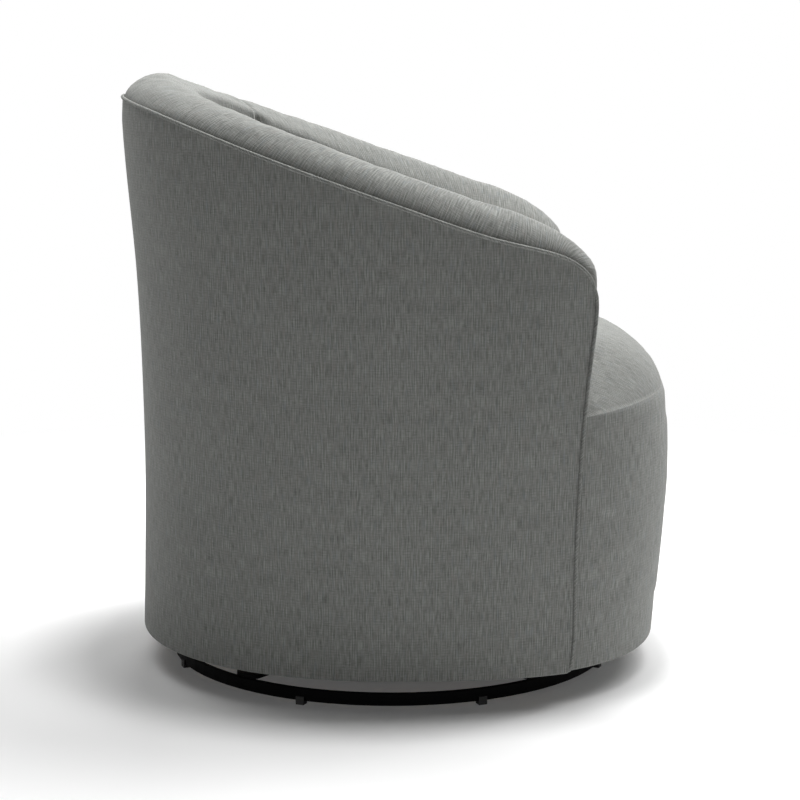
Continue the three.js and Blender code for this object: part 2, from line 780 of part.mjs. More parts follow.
function deckBoard() {
  const shape = new THREE.Shape(boardOutline(deckBottom, boardDepth));
  const side = deckHoleHalfWidth - deckHoleCorner;
  const front = deckHoleFront - deckHoleCorner;
  const back = deckHoleBack - deckHoleCorner;
  const hole = new THREE.Path();
  hole.absarc(side, back, deckHoleCorner, Math.PI / 2, 0, true);
  hole.absarc(side, -front, deckHoleCorner, 0, -Math.PI / 2, true);
  hole.absarc(-side, -front, deckHoleCorner, -Math.PI / 2, -Math.PI, true);
  hole.absarc(-side, back, deckHoleCorner, Math.PI, Math.PI / 2, true);
  shape.holes.push(hole);
  sides.forEach(([, sideSign]) => ends.forEach(([, endSign]) => {
    shape.holes.push(circlePath(sideSign * boltSide, -endSign * boltReach, boltRadius + runningGap));
  }));
  return extruded(shape, boardThickness).translate(0, 0, deckBottom);
}

function topRailUnderside(station) {
  return topEdge(station) - topRailDrop - topRailHeight;
}

function topRail() {
  const rings = stationsBetween(-topRailShare, topRailShare).map((station) => {
    const low = topRailUnderside(station);
    const high = low + topRailHeight;
    return [[ribOuterDepth, low], [ribInnerDepth, low], [ribInnerDepth, high], [ribOuterDepth, high]]
      .map(([depth, height]) => wallPoint(station, height, depth));
  });
  return loft(rings);
}

// Upright rib cut to the profile of the wall, from the hem board to the top rail
function rib(station) {
  const half = ribHalfWidth / wallLength;
  const corners = [
    [-half, ribOuterDepth], [half, ribOuterDepth], [half, ribInnerDepth], [-half, ribInnerDepth],
  ];
  const bottom = hemBoardTop + seatingGap;
  const rows = coverRows - 1;
  const rings = [];
  for (let row = 0; row <= rows; row += 1) {
    rings.push(corners.map(([shift, depth]) => {
      const top = topRailUnderside(station + shift) - ribRailGap;
      return wallPoint(station + shift, THREE.MathUtils.lerp(bottom, top, row / rows), depth);
    }));
  }
  return loft(rings);
}

// Zigzag wire spring lying flat across the deck opening
function sinuousSpring(sideShift) {
  const front = deckHoleFront + springLap;
  const waveLength = (front + deckHoleBack + springLap) / springWaves;
  const line = [];
  for (let wave = 0; wave < springWaves; wave += 1) {
    springWaveShares.forEach(([acrossShare, alongShare]) => {
      line.push([(acrossShare * springWaveWidth) / 2, (wave + alongShare) * waveLength]);
    });
  }
  const offsetLine = (side) => line.map(([across, along], i) => {
    const before = line[Math.max(i - 1, 0)];
    const after = line[Math.min(i + 1, line.length - 1)];
    const run = new THREE.Vector2(after[0] - before[0], after[1] - before[1]).normalize();
    return [across + (side * springWire * run.y) / 2, along - (side * springWire * run.x) / 2];
  });
  const outline = [...offsetLine(1), ...offsetLine(-1).reverse()];
  const shape = polygon(outline.map(([across, along]) => [across + sideShift, along - front]));
  return extruded(shape, springWire).translate(0, 0, springBottom);
}

function dustCover() {
  const half = carriageInnerFace - linkCarriageGap;
  const reaches = [-deckHoleBack - springLap, deckHoleFront + springLap];
  return block([-half, half], reaches, [carriageTop - dustCoverThickness, carriageTop]);
}

function buildFrame() {
  addPart('hem_board', hemBoard(), 'plywood');
  addPart('deck_board', deckBoard(), 'plywood');
  addPart('top_rail', topRail(), 'plywood');
  sides.forEach(([side, sideSign]) => {
    addPart(`back_rib_${side}`, rib(sideSign * ribShares[0]), 'plywood');
    addPart(`arm_rib_${side}`, rib(sideSign * ribShares[1]), 'plywood');
  });
  for (let k = 0; k < springCount; k += 1) {
    const shift = (k - (springCount - 1) / 2) * springSpacing;
    addPart(`seat_spring_${k + 1}`, sinuousSpring(shift), 'springSteel');
  }
  addPart('dust_cover', dustCover(), 'dustCloth');
}

// Depth of the inside face of the padding, deepest low down in the middle of the back
function padDepth(station, height) {
  const along = THREE.MathUtils.clamp(Math.abs(station) / padSeamShare, 0, 1);
  const down = THREE.MathUtils.clamp((topEdge(station) - height) / backPadLeanHeight, 0, 1);
  const backShare = (1 + Math.cos(Math.PI * along)) / 2;
  return padDepthTop + backPadExtraDepth * backShare * down;
}

// Share of the full size that the arm padding has left as it rounds off at the arm front
function tipShare(station) {
  const run = THREE.MathUtils.clamp((1 - Math.abs(station)) * wallLength / armTipRounding, 0, 1);
  return Math.sqrt(1 - (1 - run) ** 2);
}

// Section of the padding: up past the frame, out over the welt, across the roll and down the inside face.
// At the arm front the roll leans ahead of the rest.
function padSection(station) {
  const top = topEdge(station);
  const rise = rollRise * smoothAt(rollRiseShares, Math.abs(station)) * tipShare(station);
  const leanShare = THREE.MathUtils.smoothstep(Math.abs(station), armLeanShare, 1) * tipShare(station);
  const lean = armLeanReach * leanShare;
  const rounding = armTipRounding * (1 - tipShare(station));
  const foot = deckTop + seatingGap;
  const lip = top - weltRadius;
  const filled = Math.abs(station) > armTipShare;
  const outerDepth = filled ? coverThickness + weltSideGap : padOuterDepth;
  const section = padOuterShares.map((share) => {
    return [outerDepth, THREE.MathUtils.lerp(foot, lip - seatingGap, share), 0];
  });
  section.push([weltClearance, lip, 0]);
  const middle = (weltClearance + padDepthTop - rounding) / 2;
  for (let k = 0; k <= rollSteps; k += 1) {
    const turn = (Math.PI * k) / rollSteps;
    const depth = middle - (middle - weltClearance) * Math.cos(turn);
    section.push([depth, top + rise * Math.sin(turn), lean * Math.sin(turn)]);
  }
  padInnerShares.forEach((share) => {
    const height = THREE.MathUtils.lerp(top, foot, share);
    section.push([padDepth(station, height) - rounding, height, 0]);
  });
  return section;
}

function padding(first, last) {
  const stations = stationsBetween(first, last);
  const tip = [armTipShare, armTipShare + armTipStep / wallLength];
  tip.forEach((station) => {
    const signed = last > padSeamShare ? station : -station;
    if (signed > first && signed < last) stations.push(signed);
  });
  stations.sort((a, b) => a - b);
  return loft(stations.map((station) => {
    return padSection(station).map(([depth, height, lean]) => {
      return wallPoint(station, height, depth).add(at(0, lean, 0));
    });
  }), ladderTriangles);
}

// Cover of the outside back and arms, one panel from arm front to arm front
function outsidePanel() {
  const limit = stationBefore(weltClearance);
  const rings = stationsBetween(-1, 1).map((station) => {
    const top = topEdge(station) - weltClearance;
    const outer = coverRowShares.map((share) => THREE.MathUtils.lerp(hemHeight, top, share));
    const inner = [...outer].reverse();
    return [
      ...outer.map((height) => wallPoint(station * limit, height, 0)),
      ...inner.map((height) => wallPoint(station * limit, height, coverThickness)),
    ];
  });
  return loft(rings, ladderTriangles);
}

// Welt bead: up one arm front, along the top edge and down the other arm front
function welt() {
  const centres = [];
  const rise = (station) => {
    for (let row = 0; row < coverRows * 2; row += 1) {
      const height = THREE.MathUtils.lerp(hemHeight, armFrontHeight, row / (coverRows * 2));
      centres.push([station, height]);
    }
  };
  rise(-1);
  stationsBetween(-1, 1).forEach((station) => centres.push([station, topEdge(station)]));
  const count = centres.length;
  rise(1);
  centres.push(...centres.splice(count).reverse());
  const points = centres.map(([station, height]) => wallPoint(station, height, 0));
  const rings = points.map((point, i) => {
    const next = points[Math.min(i + 1, points.length - 1)];
    const run = next.clone().sub(points[Math.max(i - 1, 0)]).normalize();
    const deeper = wallPoint(centres[i][0], centres[i][1], weltRadius);
    const inward = deeper.sub(point).normalize();
    const across = new THREE.Vector3().crossVectors(run, inward).normalize();
    const level = new THREE.Vector3().crossVectors(across, run);
    const ring = [];
    for (let k = 0; k < weltSides; k += 1) {
      const turn = (2 * Math.PI * k) / weltSides;
      const spoke = across.clone().multiplyScalar(weltRadius * Math.cos(turn));
      ring.push(point.clone().add(spoke).addScaledVector(level, weltRadius * Math.sin(turn)));
    }
    return ring;
  });
  return loft(rings);
}

// Padded border of the seat front, from the hem up to the seat seam
function seatBorder() {
  const top = seatSeamHeight - seatingGap;
  const levels = [];
  for (let row = 0; row <= coverRows; row += 1) {
    levels.push(THREE.MathUtils.lerp(hemHeight, top, row / coverRows));
  }
  const columns = seatBearings(hemHeight).map((bearing, k) => {
    const faceLine = (heights, inset) => heights.map((height) => {
      return seatPoint(seatBearings(height)[k], height, inset);
    });
    return [...faceLine(levels, 0), ...faceLine([...levels].reverse(), seatPanelThickness)];
  });
  return loft(columns, ladderTriangles);
}

// Stations of the cushion's edge, which meets the paddings' seams point for point
function cushionStations() {
  const right = stationsBetween(-1, -padSeamShare);
  const back = stationsBetween(-padSeamShare, padSeamShare);
  const left = stationsBetween(padSeamShare, 1);
  return [...right, ...back.slice(1, -1), ...left];
}

// One level of the seat cushion: across the front, then round the inside of the arms and back
function cushionRing(height, frontInset, wallInset) {
  const bearings = seatBearings(height);
  const cornerInset = Math.max(padDepth(1, height) + wallInset, frontInset) + cushionWallGap;
  const front = bearings.map((bearing) => seatPoint(bearing, height, frontInset));
  const wall = cushionStations().map((station) => {
    return wallPoint(station, height, padDepth(station, height) + cushionWallGap + wallInset);
  });
  return [
    seatPoint(bearings[0], height, cornerInset), ...front, seatPoint(bearings.at(-1), height, cornerInset),
    ...wall.reverse(),
  ];
}

function seatCushion() {
  const underFront = seatPanelThickness + cushionFrontGap;
  const rings = [
    cushionRing(cushionBottom, underFront, 0),
    cushionRing(seatSeamHeight - seatingGap, underFront, 0),
  ];
  seatCrownShares.forEach(([up, front, wall]) => {
    const height = THREE.MathUtils.lerp(seatSeamHeight, seatCrownHeight, up);
    rings.push(cushionRing(height, front * seatCrownRun, wall * seatWallRun));
  });
  return loft(rings);
}

function buildUpholstery() {
  const seam = padSeamShare;
  const seamGap = seatingGap / wallLength;
  addPart('outside_panel', outsidePanel(), 'cover');
  addPart('welt', welt(), 'cover');
  addPart('back_pad', padding(seamGap - seam, seam - seamGap), 'cover');
  addPart('arm_pad_left', padding(seam + seamGap, 1), 'cover');
  addPart('arm_pad_right', padding(-1, -seam - seamGap), 'cover');
  addPart('seat_border', seatBorder(), 'cover');
  addPart('seat_cushion', seatCushion(), 'cover');
}

buildBase();
buildBearing();
buildMechanism();
buildFrame();
buildUpholstery();

export default chair;
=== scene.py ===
# Swivel glider chair covered in grey slub linen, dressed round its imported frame.
# Metres, +Z up, the chair faces -Y. Heights are from the floor, reaches from the swivel axis.
import json
import math

import bpy
import numpy as np
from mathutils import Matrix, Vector
from mathutils.kdtree import KDTree


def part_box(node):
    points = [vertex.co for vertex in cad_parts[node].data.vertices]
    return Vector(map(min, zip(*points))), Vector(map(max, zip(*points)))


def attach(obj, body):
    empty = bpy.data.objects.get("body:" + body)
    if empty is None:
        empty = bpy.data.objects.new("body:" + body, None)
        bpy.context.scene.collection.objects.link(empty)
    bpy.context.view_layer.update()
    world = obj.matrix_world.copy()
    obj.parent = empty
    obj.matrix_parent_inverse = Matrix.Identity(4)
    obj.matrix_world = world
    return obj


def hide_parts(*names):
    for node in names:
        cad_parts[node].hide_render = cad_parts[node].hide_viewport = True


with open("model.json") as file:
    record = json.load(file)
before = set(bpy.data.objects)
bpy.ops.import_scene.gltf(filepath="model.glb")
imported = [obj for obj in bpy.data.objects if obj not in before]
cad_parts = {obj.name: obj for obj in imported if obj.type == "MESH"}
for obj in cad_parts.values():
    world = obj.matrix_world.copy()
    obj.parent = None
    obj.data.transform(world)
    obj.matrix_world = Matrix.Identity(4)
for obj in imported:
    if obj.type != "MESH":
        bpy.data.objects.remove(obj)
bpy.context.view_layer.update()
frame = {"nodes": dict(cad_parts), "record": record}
nodes = frame["nodes"]
ringLow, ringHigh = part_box("base_ring")
axisY = (ringLow.y + ringHigh.y) / 2
print("frame loaded:", len(nodes), "CAD pieces")

# Camera, at the photograph's angle
cameraPlan = {"distance": 2.88239, "height": 0.8338, "pitch": 0.163728, "lens": 92.264, "shift": 0.01075}
cameraData = bpy.data.cameras.new("camera")
cameraData.lens = cameraPlan["lens"]
cameraData.sensor_width = 36
cameraData.shift_x = cameraPlan["shift"]
camera = bpy.data.objects.new("camera", cameraData)
camera.location = (-cameraPlan["distance"], axisY, cameraPlan["height"])
camera.rotation_euler = (math.pi / 2 - cameraPlan["pitch"], 0, -math.pi / 2)
bpy.context.scene.collection.objects.link(camera)
bpy.context.scene.camera = camera
bpy.context.scene.view_settings.view_transform = "Standard"

# The chair's outline, as the frame was built, but the seat's face turns in a little sooner under its seam
shape = {
    "hemHeight": 0.042, "hemHalfWidth": 0.330, "armHalfWidth": 0.343, "armFlareHeight": 0.640,
    "backFullness": 2.1, "armFullness": 2.6, "armOutlineReach": 0.384,
    "backReach": [(0.042, 0.355), (0.305, 0.3497), (0.546, 0.3565), (0.747, 0.372), (0.787, 0.3705)],
    "backWeltHeight": 0.787, "backWeltReach": 0.3705,
    "armFrontReach": 0.262, "armFrontHeight": 0.538, "armHemReach": 0.234,
    "edgeLean": [(0, 0), (0.1, 0.18), (0.31, 0.2), (0.55, 0.36), (0.75, 0.61), (0.95, 1), (1, 1)],
    "topLine": [(0, 1), (0.11, 0.914), (0.34, 0.704), (0.6, 0.472), (0.775, 0.318),
                (0.9, 0.235), (0.95, 0.182), (0.985, 0.099), (1, 0)],
    "seatFullness": 2.45, "seatReach": [(0.042, 0.3705), (0.253, 0.3875), (0.33, 0.3868), (0.382, 0.383)],
    "weltClearance": 0.004, "deckTop": 0.318, "boardBottom": 0.046,
}


def smoothAt(pairs, x):  # smooth curve through pairs of numbers, level beyond both ends
    xs, ys = np.array(pairs, float).T
    last = len(xs) - 1
    x = np.clip(np.asarray(x, float), xs[0], xs[-1])
    i = np.clip(np.searchsorted(xs, x, side="right") - 1, 0, last - 1)
    count = np.arange(last + 1)
    before, after = np.maximum(count - 1, 0), np.minimum(count + 1, last)
    slope = (ys[after] - ys[before]) / (xs[after] - xs[before])
    width = xs[i + 1] - xs[i]
    s = (x - xs[i]) / width
    bend = (1 - s) * slope[i] - s * slope[i + 1]
    return ys[i] + (ys[i + 1] - ys[i]) * s * s * (3 - 2 * s) + s * (1 - s) * width * bend


def blendStep(x, low, high):
    s = np.clip((np.asarray(x, float) - low) / (high - low), 0, 1)
    return s * s * (3 - 2 * s)


def outlinePoint(bearing, height, reach, halfWidth, fullness, inset):
    ahead = np.abs(np.cos(bearing)) / reach
    aside = np.abs(np.sin(bearing)) / halfWidth
    radius = (ahead ** fullness + aside ** fullness) ** (-1 / fullness)
    side, forward = radius * np.sin(bearing), radius * np.cos(bearing)
    normalX = np.sign(side) * (np.abs(side) / halfWidth) ** (fullness - 1) / halfWidth
    normalY = np.sign(forward) * (np.abs(forward) / reach) ** (fullness - 1) / reach
    size = np.hypot(normalX, normalY)
    side, forward = side - normalX / size * inset, forward - normalY / size * inset
    return np.stack(np.broadcast_arrays(side, axisY - forward, height), -1)


def bodyHalfWidth(height):
    share = np.clip((height - shape["hemHeight"]) / (shape["armFlareHeight"] - shape["hemHeight"]), 0, 1)
    return shape["hemHalfWidth"] + (shape["armHalfWidth"] - shape["hemHalfWidth"]) * share


def bodyPoint(bearing, height, depth):
    toBack = np.cos(bearing) < 0
    reach = np.where(toBack, smoothAt(shape["backReach"], height), shape["armOutlineReach"])
    fullness = np.where(toBack, shape["backFullness"], shape["armFullness"])
    return outlinePoint(bearing, height, reach, bodyHalfWidth(height), fullness, depth)


def edgeBearing(height):
    share = (height - shape["hemHeight"]) / (shape["armFrontHeight"] - shape["hemHeight"])
    lean = smoothAt(shape["edgeLean"], share)
    forward = shape["armHemReach"] + (shape["armFrontReach"] - shape["armHemReach"]) * lean
    full = shape["armFullness"]
    side = bodyHalfWidth(height) * (1 - (forward / shape["armOutlineReach"]) ** full) ** (1 / full)
    return np.arctan2(side, forward)


def wallPoint(station, height, depth):  # station 0 is the middle of the back, 1 the left arm front
    station, height = np.broadcast_arrays(np.asarray(station, float), height)
    turn = np.abs(station) * (math.pi - edgeBearing(height))
    return bodyPoint(np.where(station < 0, turn - math.pi, math.pi - turn), height, depth)


def topEdge(station):  # height of the welt along the top of the wall
    height = np.full(np.shape(station), shape["armFlareHeight"])
    for _ in range(3):
        forward = axisY - wallPoint(station, height, 0)[..., 1]
        share = (forward + shape["backWeltReach"]) / (shape["armFrontReach"] + shape["backWeltReach"])
        rise = shape["backWeltHeight"] - shape["armFrontHeight"]
        height = shape["armFrontHeight"] + rise * smoothAt(shape["topLine"], share)
    return height


wallLength = (math.pi - float(edgeBearing(shape["armFrontHeight"]))) * shape["armHalfWidth"]


def seatPoint(bearing, height, inset):
    reach = smoothAt(shape["seatReach"], height)
    return outlinePoint(bearing, height, reach, bodyHalfWidth(height), shape["seatFullness"], inset)


def seatLimit(height):  # bearing where the seat ends, just ahead of the welt
    return edgeBearing(height) - shape["weltClearance"] / shape["armHalfWidth"]


def bearingLengths(height):  # distance round the body from the middle of the back to each bearing
    bearing = np.linspace(0, math.pi, 1441)
    line = bodyPoint(bearing, np.full(bearing.shape, height), 0.0)
    steps = np.linalg.norm(np.diff(line, axis=0), axis=1)
    total = np.concatenate([[0], np.cumsum(steps)])
    return bearing, total[-1] - total


def roundedEdge(distance, radius):  # how far a surface falls back as it turns round its edge
    run = np.clip(1 - np.asarray(distance, float) / radius, 0, 1)
    return radius * (1 - np.sqrt(np.clip(1 - run ** 2, 0, 1)))


# Meshes from grids of points
def gridFaces(index):
    return np.stack([index[:-1, :-1], index[:-1, 1:], index[1:, 1:], index[1:, :-1]], -1).reshape(-1, 4)


def makePiece(name, points, patches, closed=True):
    faces, corners = [], []
    for index, threads in patches:
        places = gridFaces(np.arange(threads.shape[0] * threads.shape[1]).reshape(threads.shape[:2]))
        flat = threads.reshape(-1, 2)
        for face, place in zip(gridFaces(index).tolist(), places.tolist()):
            kept = [k for k in range(4) if face[k] != face[k - 1]]
            if len(kept) > 2:
                faces.append([face[k] for k in kept])
                corners.append([flat[place[k]] for k in kept])
    if closed:  # turn an inside-out piece the right way round
        fans = np.array([(f[0], f[i], f[i + 1]) for f in faces for i in range(1, len(f) - 1)])
        a, b, c = (points[fans[:, k]] for k in range(3))
        if np.einsum("ij,ij->", a, np.cross(b, c)) < 0:
            faces = [f[::-1] for f in faces]
            corners = [c[::-1] for c in corners]
    mesh = bpy.data.meshes.new(name)
    mesh.from_pydata(points.tolist(), [], faces)
    threadMap = mesh.uv_layers.new(name="threads")
    threadMap.uv.foreach_set("vector", np.concatenate([np.ravel(c) for c in corners]).astype(np.float32))
    mesh.shade_smooth()
    piece = bpy.data.objects.new(name, mesh)
    bpy.context.scene.collection.objects.link(piece)
    return piece


def alongLine(points, axis=0):  # running length along a grid of points
    steps = np.linalg.norm(np.diff(points, axis=axis), axis=-1)
    start = np.zeros_like(np.take(steps, [0], axis=axis))
    return np.concatenate([start, np.cumsum(steps, axis=axis)], axis=axis)


def sharpLoops(piece, loops):  # keep the shading of an end face apart from the surface beside it
    pairs = {tuple(sorted(pair)) for loop in loops for pair in zip(loop, np.roll(loop, 1))}
    mesh = piece.data
    sharp = mesh.attributes.new("sharp_edge", "BOOLEAN", "EDGE")
    sharp.data.foreach_set("value", [tuple(sorted(edge.vertices)) in pairs for edge in mesh.edges])
    return piece


def sectionPiece(name, grid, threads, capSpots=1, sharpEnds=()):
    # grid is columns x section points; the section closes on itself, and its two ends are filled
    # across between the point k from its start and the point k from its end
    columns, count = grid.shape[:2]
    points = grid.reshape(-1, 3)
    index = np.arange(columns * count).reshape(columns, count)
    loop = np.concatenate([index, index[:, :1]], 1)
    loopThreads = np.concatenate([threads, threads[:, -1:] + [0, 0.05]], 1)
    patches = [(loop, loopThreads)]
    half = count // 2
    for end in (0, columns - 1):
        ring = index[end]
        rows = []
        for k in range(half + 1):
            other = count - 1 - k
            if other <= k:
                rows.append([ring[k]] * (capSpots + 1))
                break
            inner = []
            for j in range(1, capSpots):
                inner.append(len(points))
                spot = grid[end, k] + (grid[end, other] - grid[end, k]) * j / capSpots
                points = np.concatenate([points, [spot]])
            rows.append([ring[k], *inner, ring[other]])
        face = np.array(rows if end else [row[::-1] for row in rows])
        spots = points[face]
        across = alongLine(spots, 1)
        patches.append((face, np.stack([across, spots[..., 2]], -1)))
    return sharpLoops(makePiece(name, points, patches), [index[end] for end in sharpEnds])


def dress(piece, body, replaced, material):
    piece.data.materials.clear()
    piece.data.materials.append(material)
    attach(piece, body)
    if replaced:
        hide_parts(*replaced)
    return piece


def plainMesh(source, name):  # the evaluated modifiers as a plain mesh of their own
    evaluated = source.evaluated_get(bpy.context.evaluated_depsgraph_get())
    mesh = bpy.data.meshes.new_from_object(evaluated)
    mesh.name = name
    bpy.data.objects.remove(source)
    piece = bpy.data.objects.new(name, mesh)
    bpy.context.scene.collection.objects.link(piece)
    return piece


def pointsOf(mesh):
    flat = np.empty(len(mesh.vertices) * 3, np.float32)
    mesh.vertices.foreach_get("co", flat)
    return flat.reshape(-1, 3).astype(float)


def carried(spots, values, points, count):  # values at some spots, read off at other points
    tree = KDTree(len(spots))
    for k, spot in enumerate(spots):
        tree.insert(spot, k)
    tree.balance()
    result = np.zeros((len(points), values.shape[1]))
    for k, point in enumerate(points):
        found = tree.find_n(point, count)
        weights = np.array([1 / (distance + 0.0005) for _, _, distance in found])
        result[k] = weights @ values[[index for _, index, _ in found]] / weights.sum()
    return result


def broadPart(points, values, free, size):  # the part of the values that changes only over the given size
    cells = np.floor(points / size).astype(int)
    _, owner = np.unique(cells, axis=0, return_inverse=True)
    owner = owner.ravel()
    weights = free + 0.0001
    total = np.bincount(owner, weights)
    centres = np.stack([np.bincount(owner, weights * points[:, k]) / total for k in range(3)], 1)
    means = np.bincount(owner, weights * values) / total
    return carried(centres, means[:, None], points, 5)[:, 0]


def clothFill(piece, free, plan):
    # an evenly meshed copy is filled as cloth, and its motion is carried back to the piece's own points
    copy = bpy.data.objects.new("clothCopy", piece.data.copy())
    bpy.context.scene.collection.objects.link(copy)
    remesh = copy.modifiers.new("remesh", "REMESH")
    remesh.mode = "VOXEL"
    remesh.voxel_size = plan["voxel"]
    copy = plainMesh(copy, "clothBody")
    points, rest = pointsOf(piece.data), pointsOf(copy.data)
    freeAtRest = carried(points, free[:, None], rest, 1)[:, 0]
    held = copy.vertex_groups.new(name="held")
    for k, share in enumerate(1 - freeAtRest):
        held.add([k], float(share), "REPLACE")
    settings = copy.modifiers.new("cloth", "CLOTH").settings
    settings.quality = 6
    settings.mass = 0.3
    settings.tension_stiffness = settings.compression_stiffness = plan["stiffness"]
    settings.shear_stiffness = plan["stiffness"] * 0.6
    settings.bending_stiffness = plan["bending"]
    settings.use_pressure = True
    settings.uniform_pressure_force = plan["pressure"]
    settings.shrink_min = -plan["fullness"]
    settings.effector_weights.gravity = 0
    settings.vertex_group_mass = "held"
    for k in range(1, plan["frames"] + 1):
        bpy.context.scene.frame_set(k)
    evaluated = copy.evaluated_get(bpy.context.evaluated_depsgraph_get())
    motion = pointsOf(evaluated.data) - rest
    bpy.context.scene.frame_set(1)
    motion = carried(rest, motion, points, 4)
    normals = np.empty(len(points) * 3, np.float32)
    piece.data.vertices.foreach_get("normal", normals)
    normals = normals.reshape(-1, 3)
    swelling = (motion * normals).sum(1)
    broad = broadPart(points, swelling, free, plan["broad"])  # the form drawn already has the filled size
    motion = motion - normals * broad[:, None]
    size = np.linalg.norm(motion, axis=1, keepdims=True) + 1e-9
    motion = motion * plan["cap"] * np.tanh(size / plan["cap"]) / size
    points = points + motion * free[:, None]
    piece.data.vertices.foreach_set("co", points.astype(np.float32).ravel())
    piece.data.update()
    bpy.data.objects.remove(copy)
    print("cloth filled:", piece.name, "motion up to", round(float(size.max()) * 1000, 1), "mm")


# Materials
class Nodes:  # short way to add linked shader nodes
    def __init__(self, name):
        self.material = bpy.data.materials.new(name)
        self.material.use_nodes = True
        self.tree = self.material.node_tree
        self.shader = self.tree.nodes["Principled BSDF"]

    def add(self, kind, inputs=None, **settings):
        node = self.tree.nodes.new(kind)
        for key, value in settings.items():
            setattr(node, key, value)
        for key, value in (inputs or {}).items():
            if isinstance(value, bpy.types.NodeSocket):
                self.tree.links.new(value, node.inputs[key])
            else:
                node.inputs[key].default_value = value
        return node

    def math(self, operation, a, b=0.0, c=0.0):
        return self.add("ShaderNodeMath", {0: a, 1: b, 2: c}, operation=operation).outputs[0]

    def scaled(self, vector, scale, location=(0, 0, 0), turn=0.0):
        inputs = {"Vector": vector, "Scale": scale, "Location": location, "Rotation": (0, 0, turn)}
        return self.add("ShaderNodeMapping", inputs).outputs[0]

    def noise(self, vector, scale=1.0, detail=2.0, roughness=0.5):
        inputs = {"Vector": vector, "Scale": scale, "Detail": detail, "Roughness": roughness}
        return self.add("ShaderNodeTexNoise", inputs).outputs[0]

    def remap(self, value, low, high, toLow=0.0, toHigh=1.0):
        inputs = {0: value, 1: low, 2: high, 3: toLow, 4: toHigh}
        return self.add("ShaderNodeMapRange", inputs).outputs[0]

    def mixed(self, factor, first, second, blend="MIX"):
        node = self.add("ShaderNodeMix", data_type="RGBA", blend_type=blend)
        for socket, value in ((node.inputs[0], factor), (node.inputs[6], first), (node.inputs[7], second)):
            if isinstance(value, bpy.types.NodeSocket):
                self.tree.links.new(value, socket)
            else:
                socket.default_value = value
        return node.outputs[2]

    def bump(self, height, distance, strength=1.0):
        inputs = {"Height": height, "Distance": distance, "Strength": strength}
        return self.add("ShaderNodeBump", inputs).outputs[0]

    def finish(self, **sockets):
        for key, value in sockets.items():
            name = {"color": "Base Color", "rough": "Roughness", "metal": "Metallic", "normal": "Normal",
                    "sheen": "Sheen Weight", "sheenRough": "Sheen Roughness", "sheenTint": "Sheen Tint",
                    "specular": "Specular IOR Level"}[key]
            if isinstance(value, bpy.types.NodeSocket):
                self.tree.links.new(value, self.shader.inputs[name])
            else:
                self.shader.inputs[name].default_value = value
        return self.material


linen = {
    "color": (0.282, 0.288, 0.272, 1), "darkThread": (0.118, 0.122, 0.115, 1),
    "paleThread": (0.40, 0.41, 0.39, 1), "warmThread": (0.305, 0.272, 0.25, 1),
    "coolThread": (0.238, 0.278, 0.306, 1),
    "threadPitch": 0.0035, "slubWidth": 0.0008, "slubLength": 0.020, "sheen": 0.12,
}


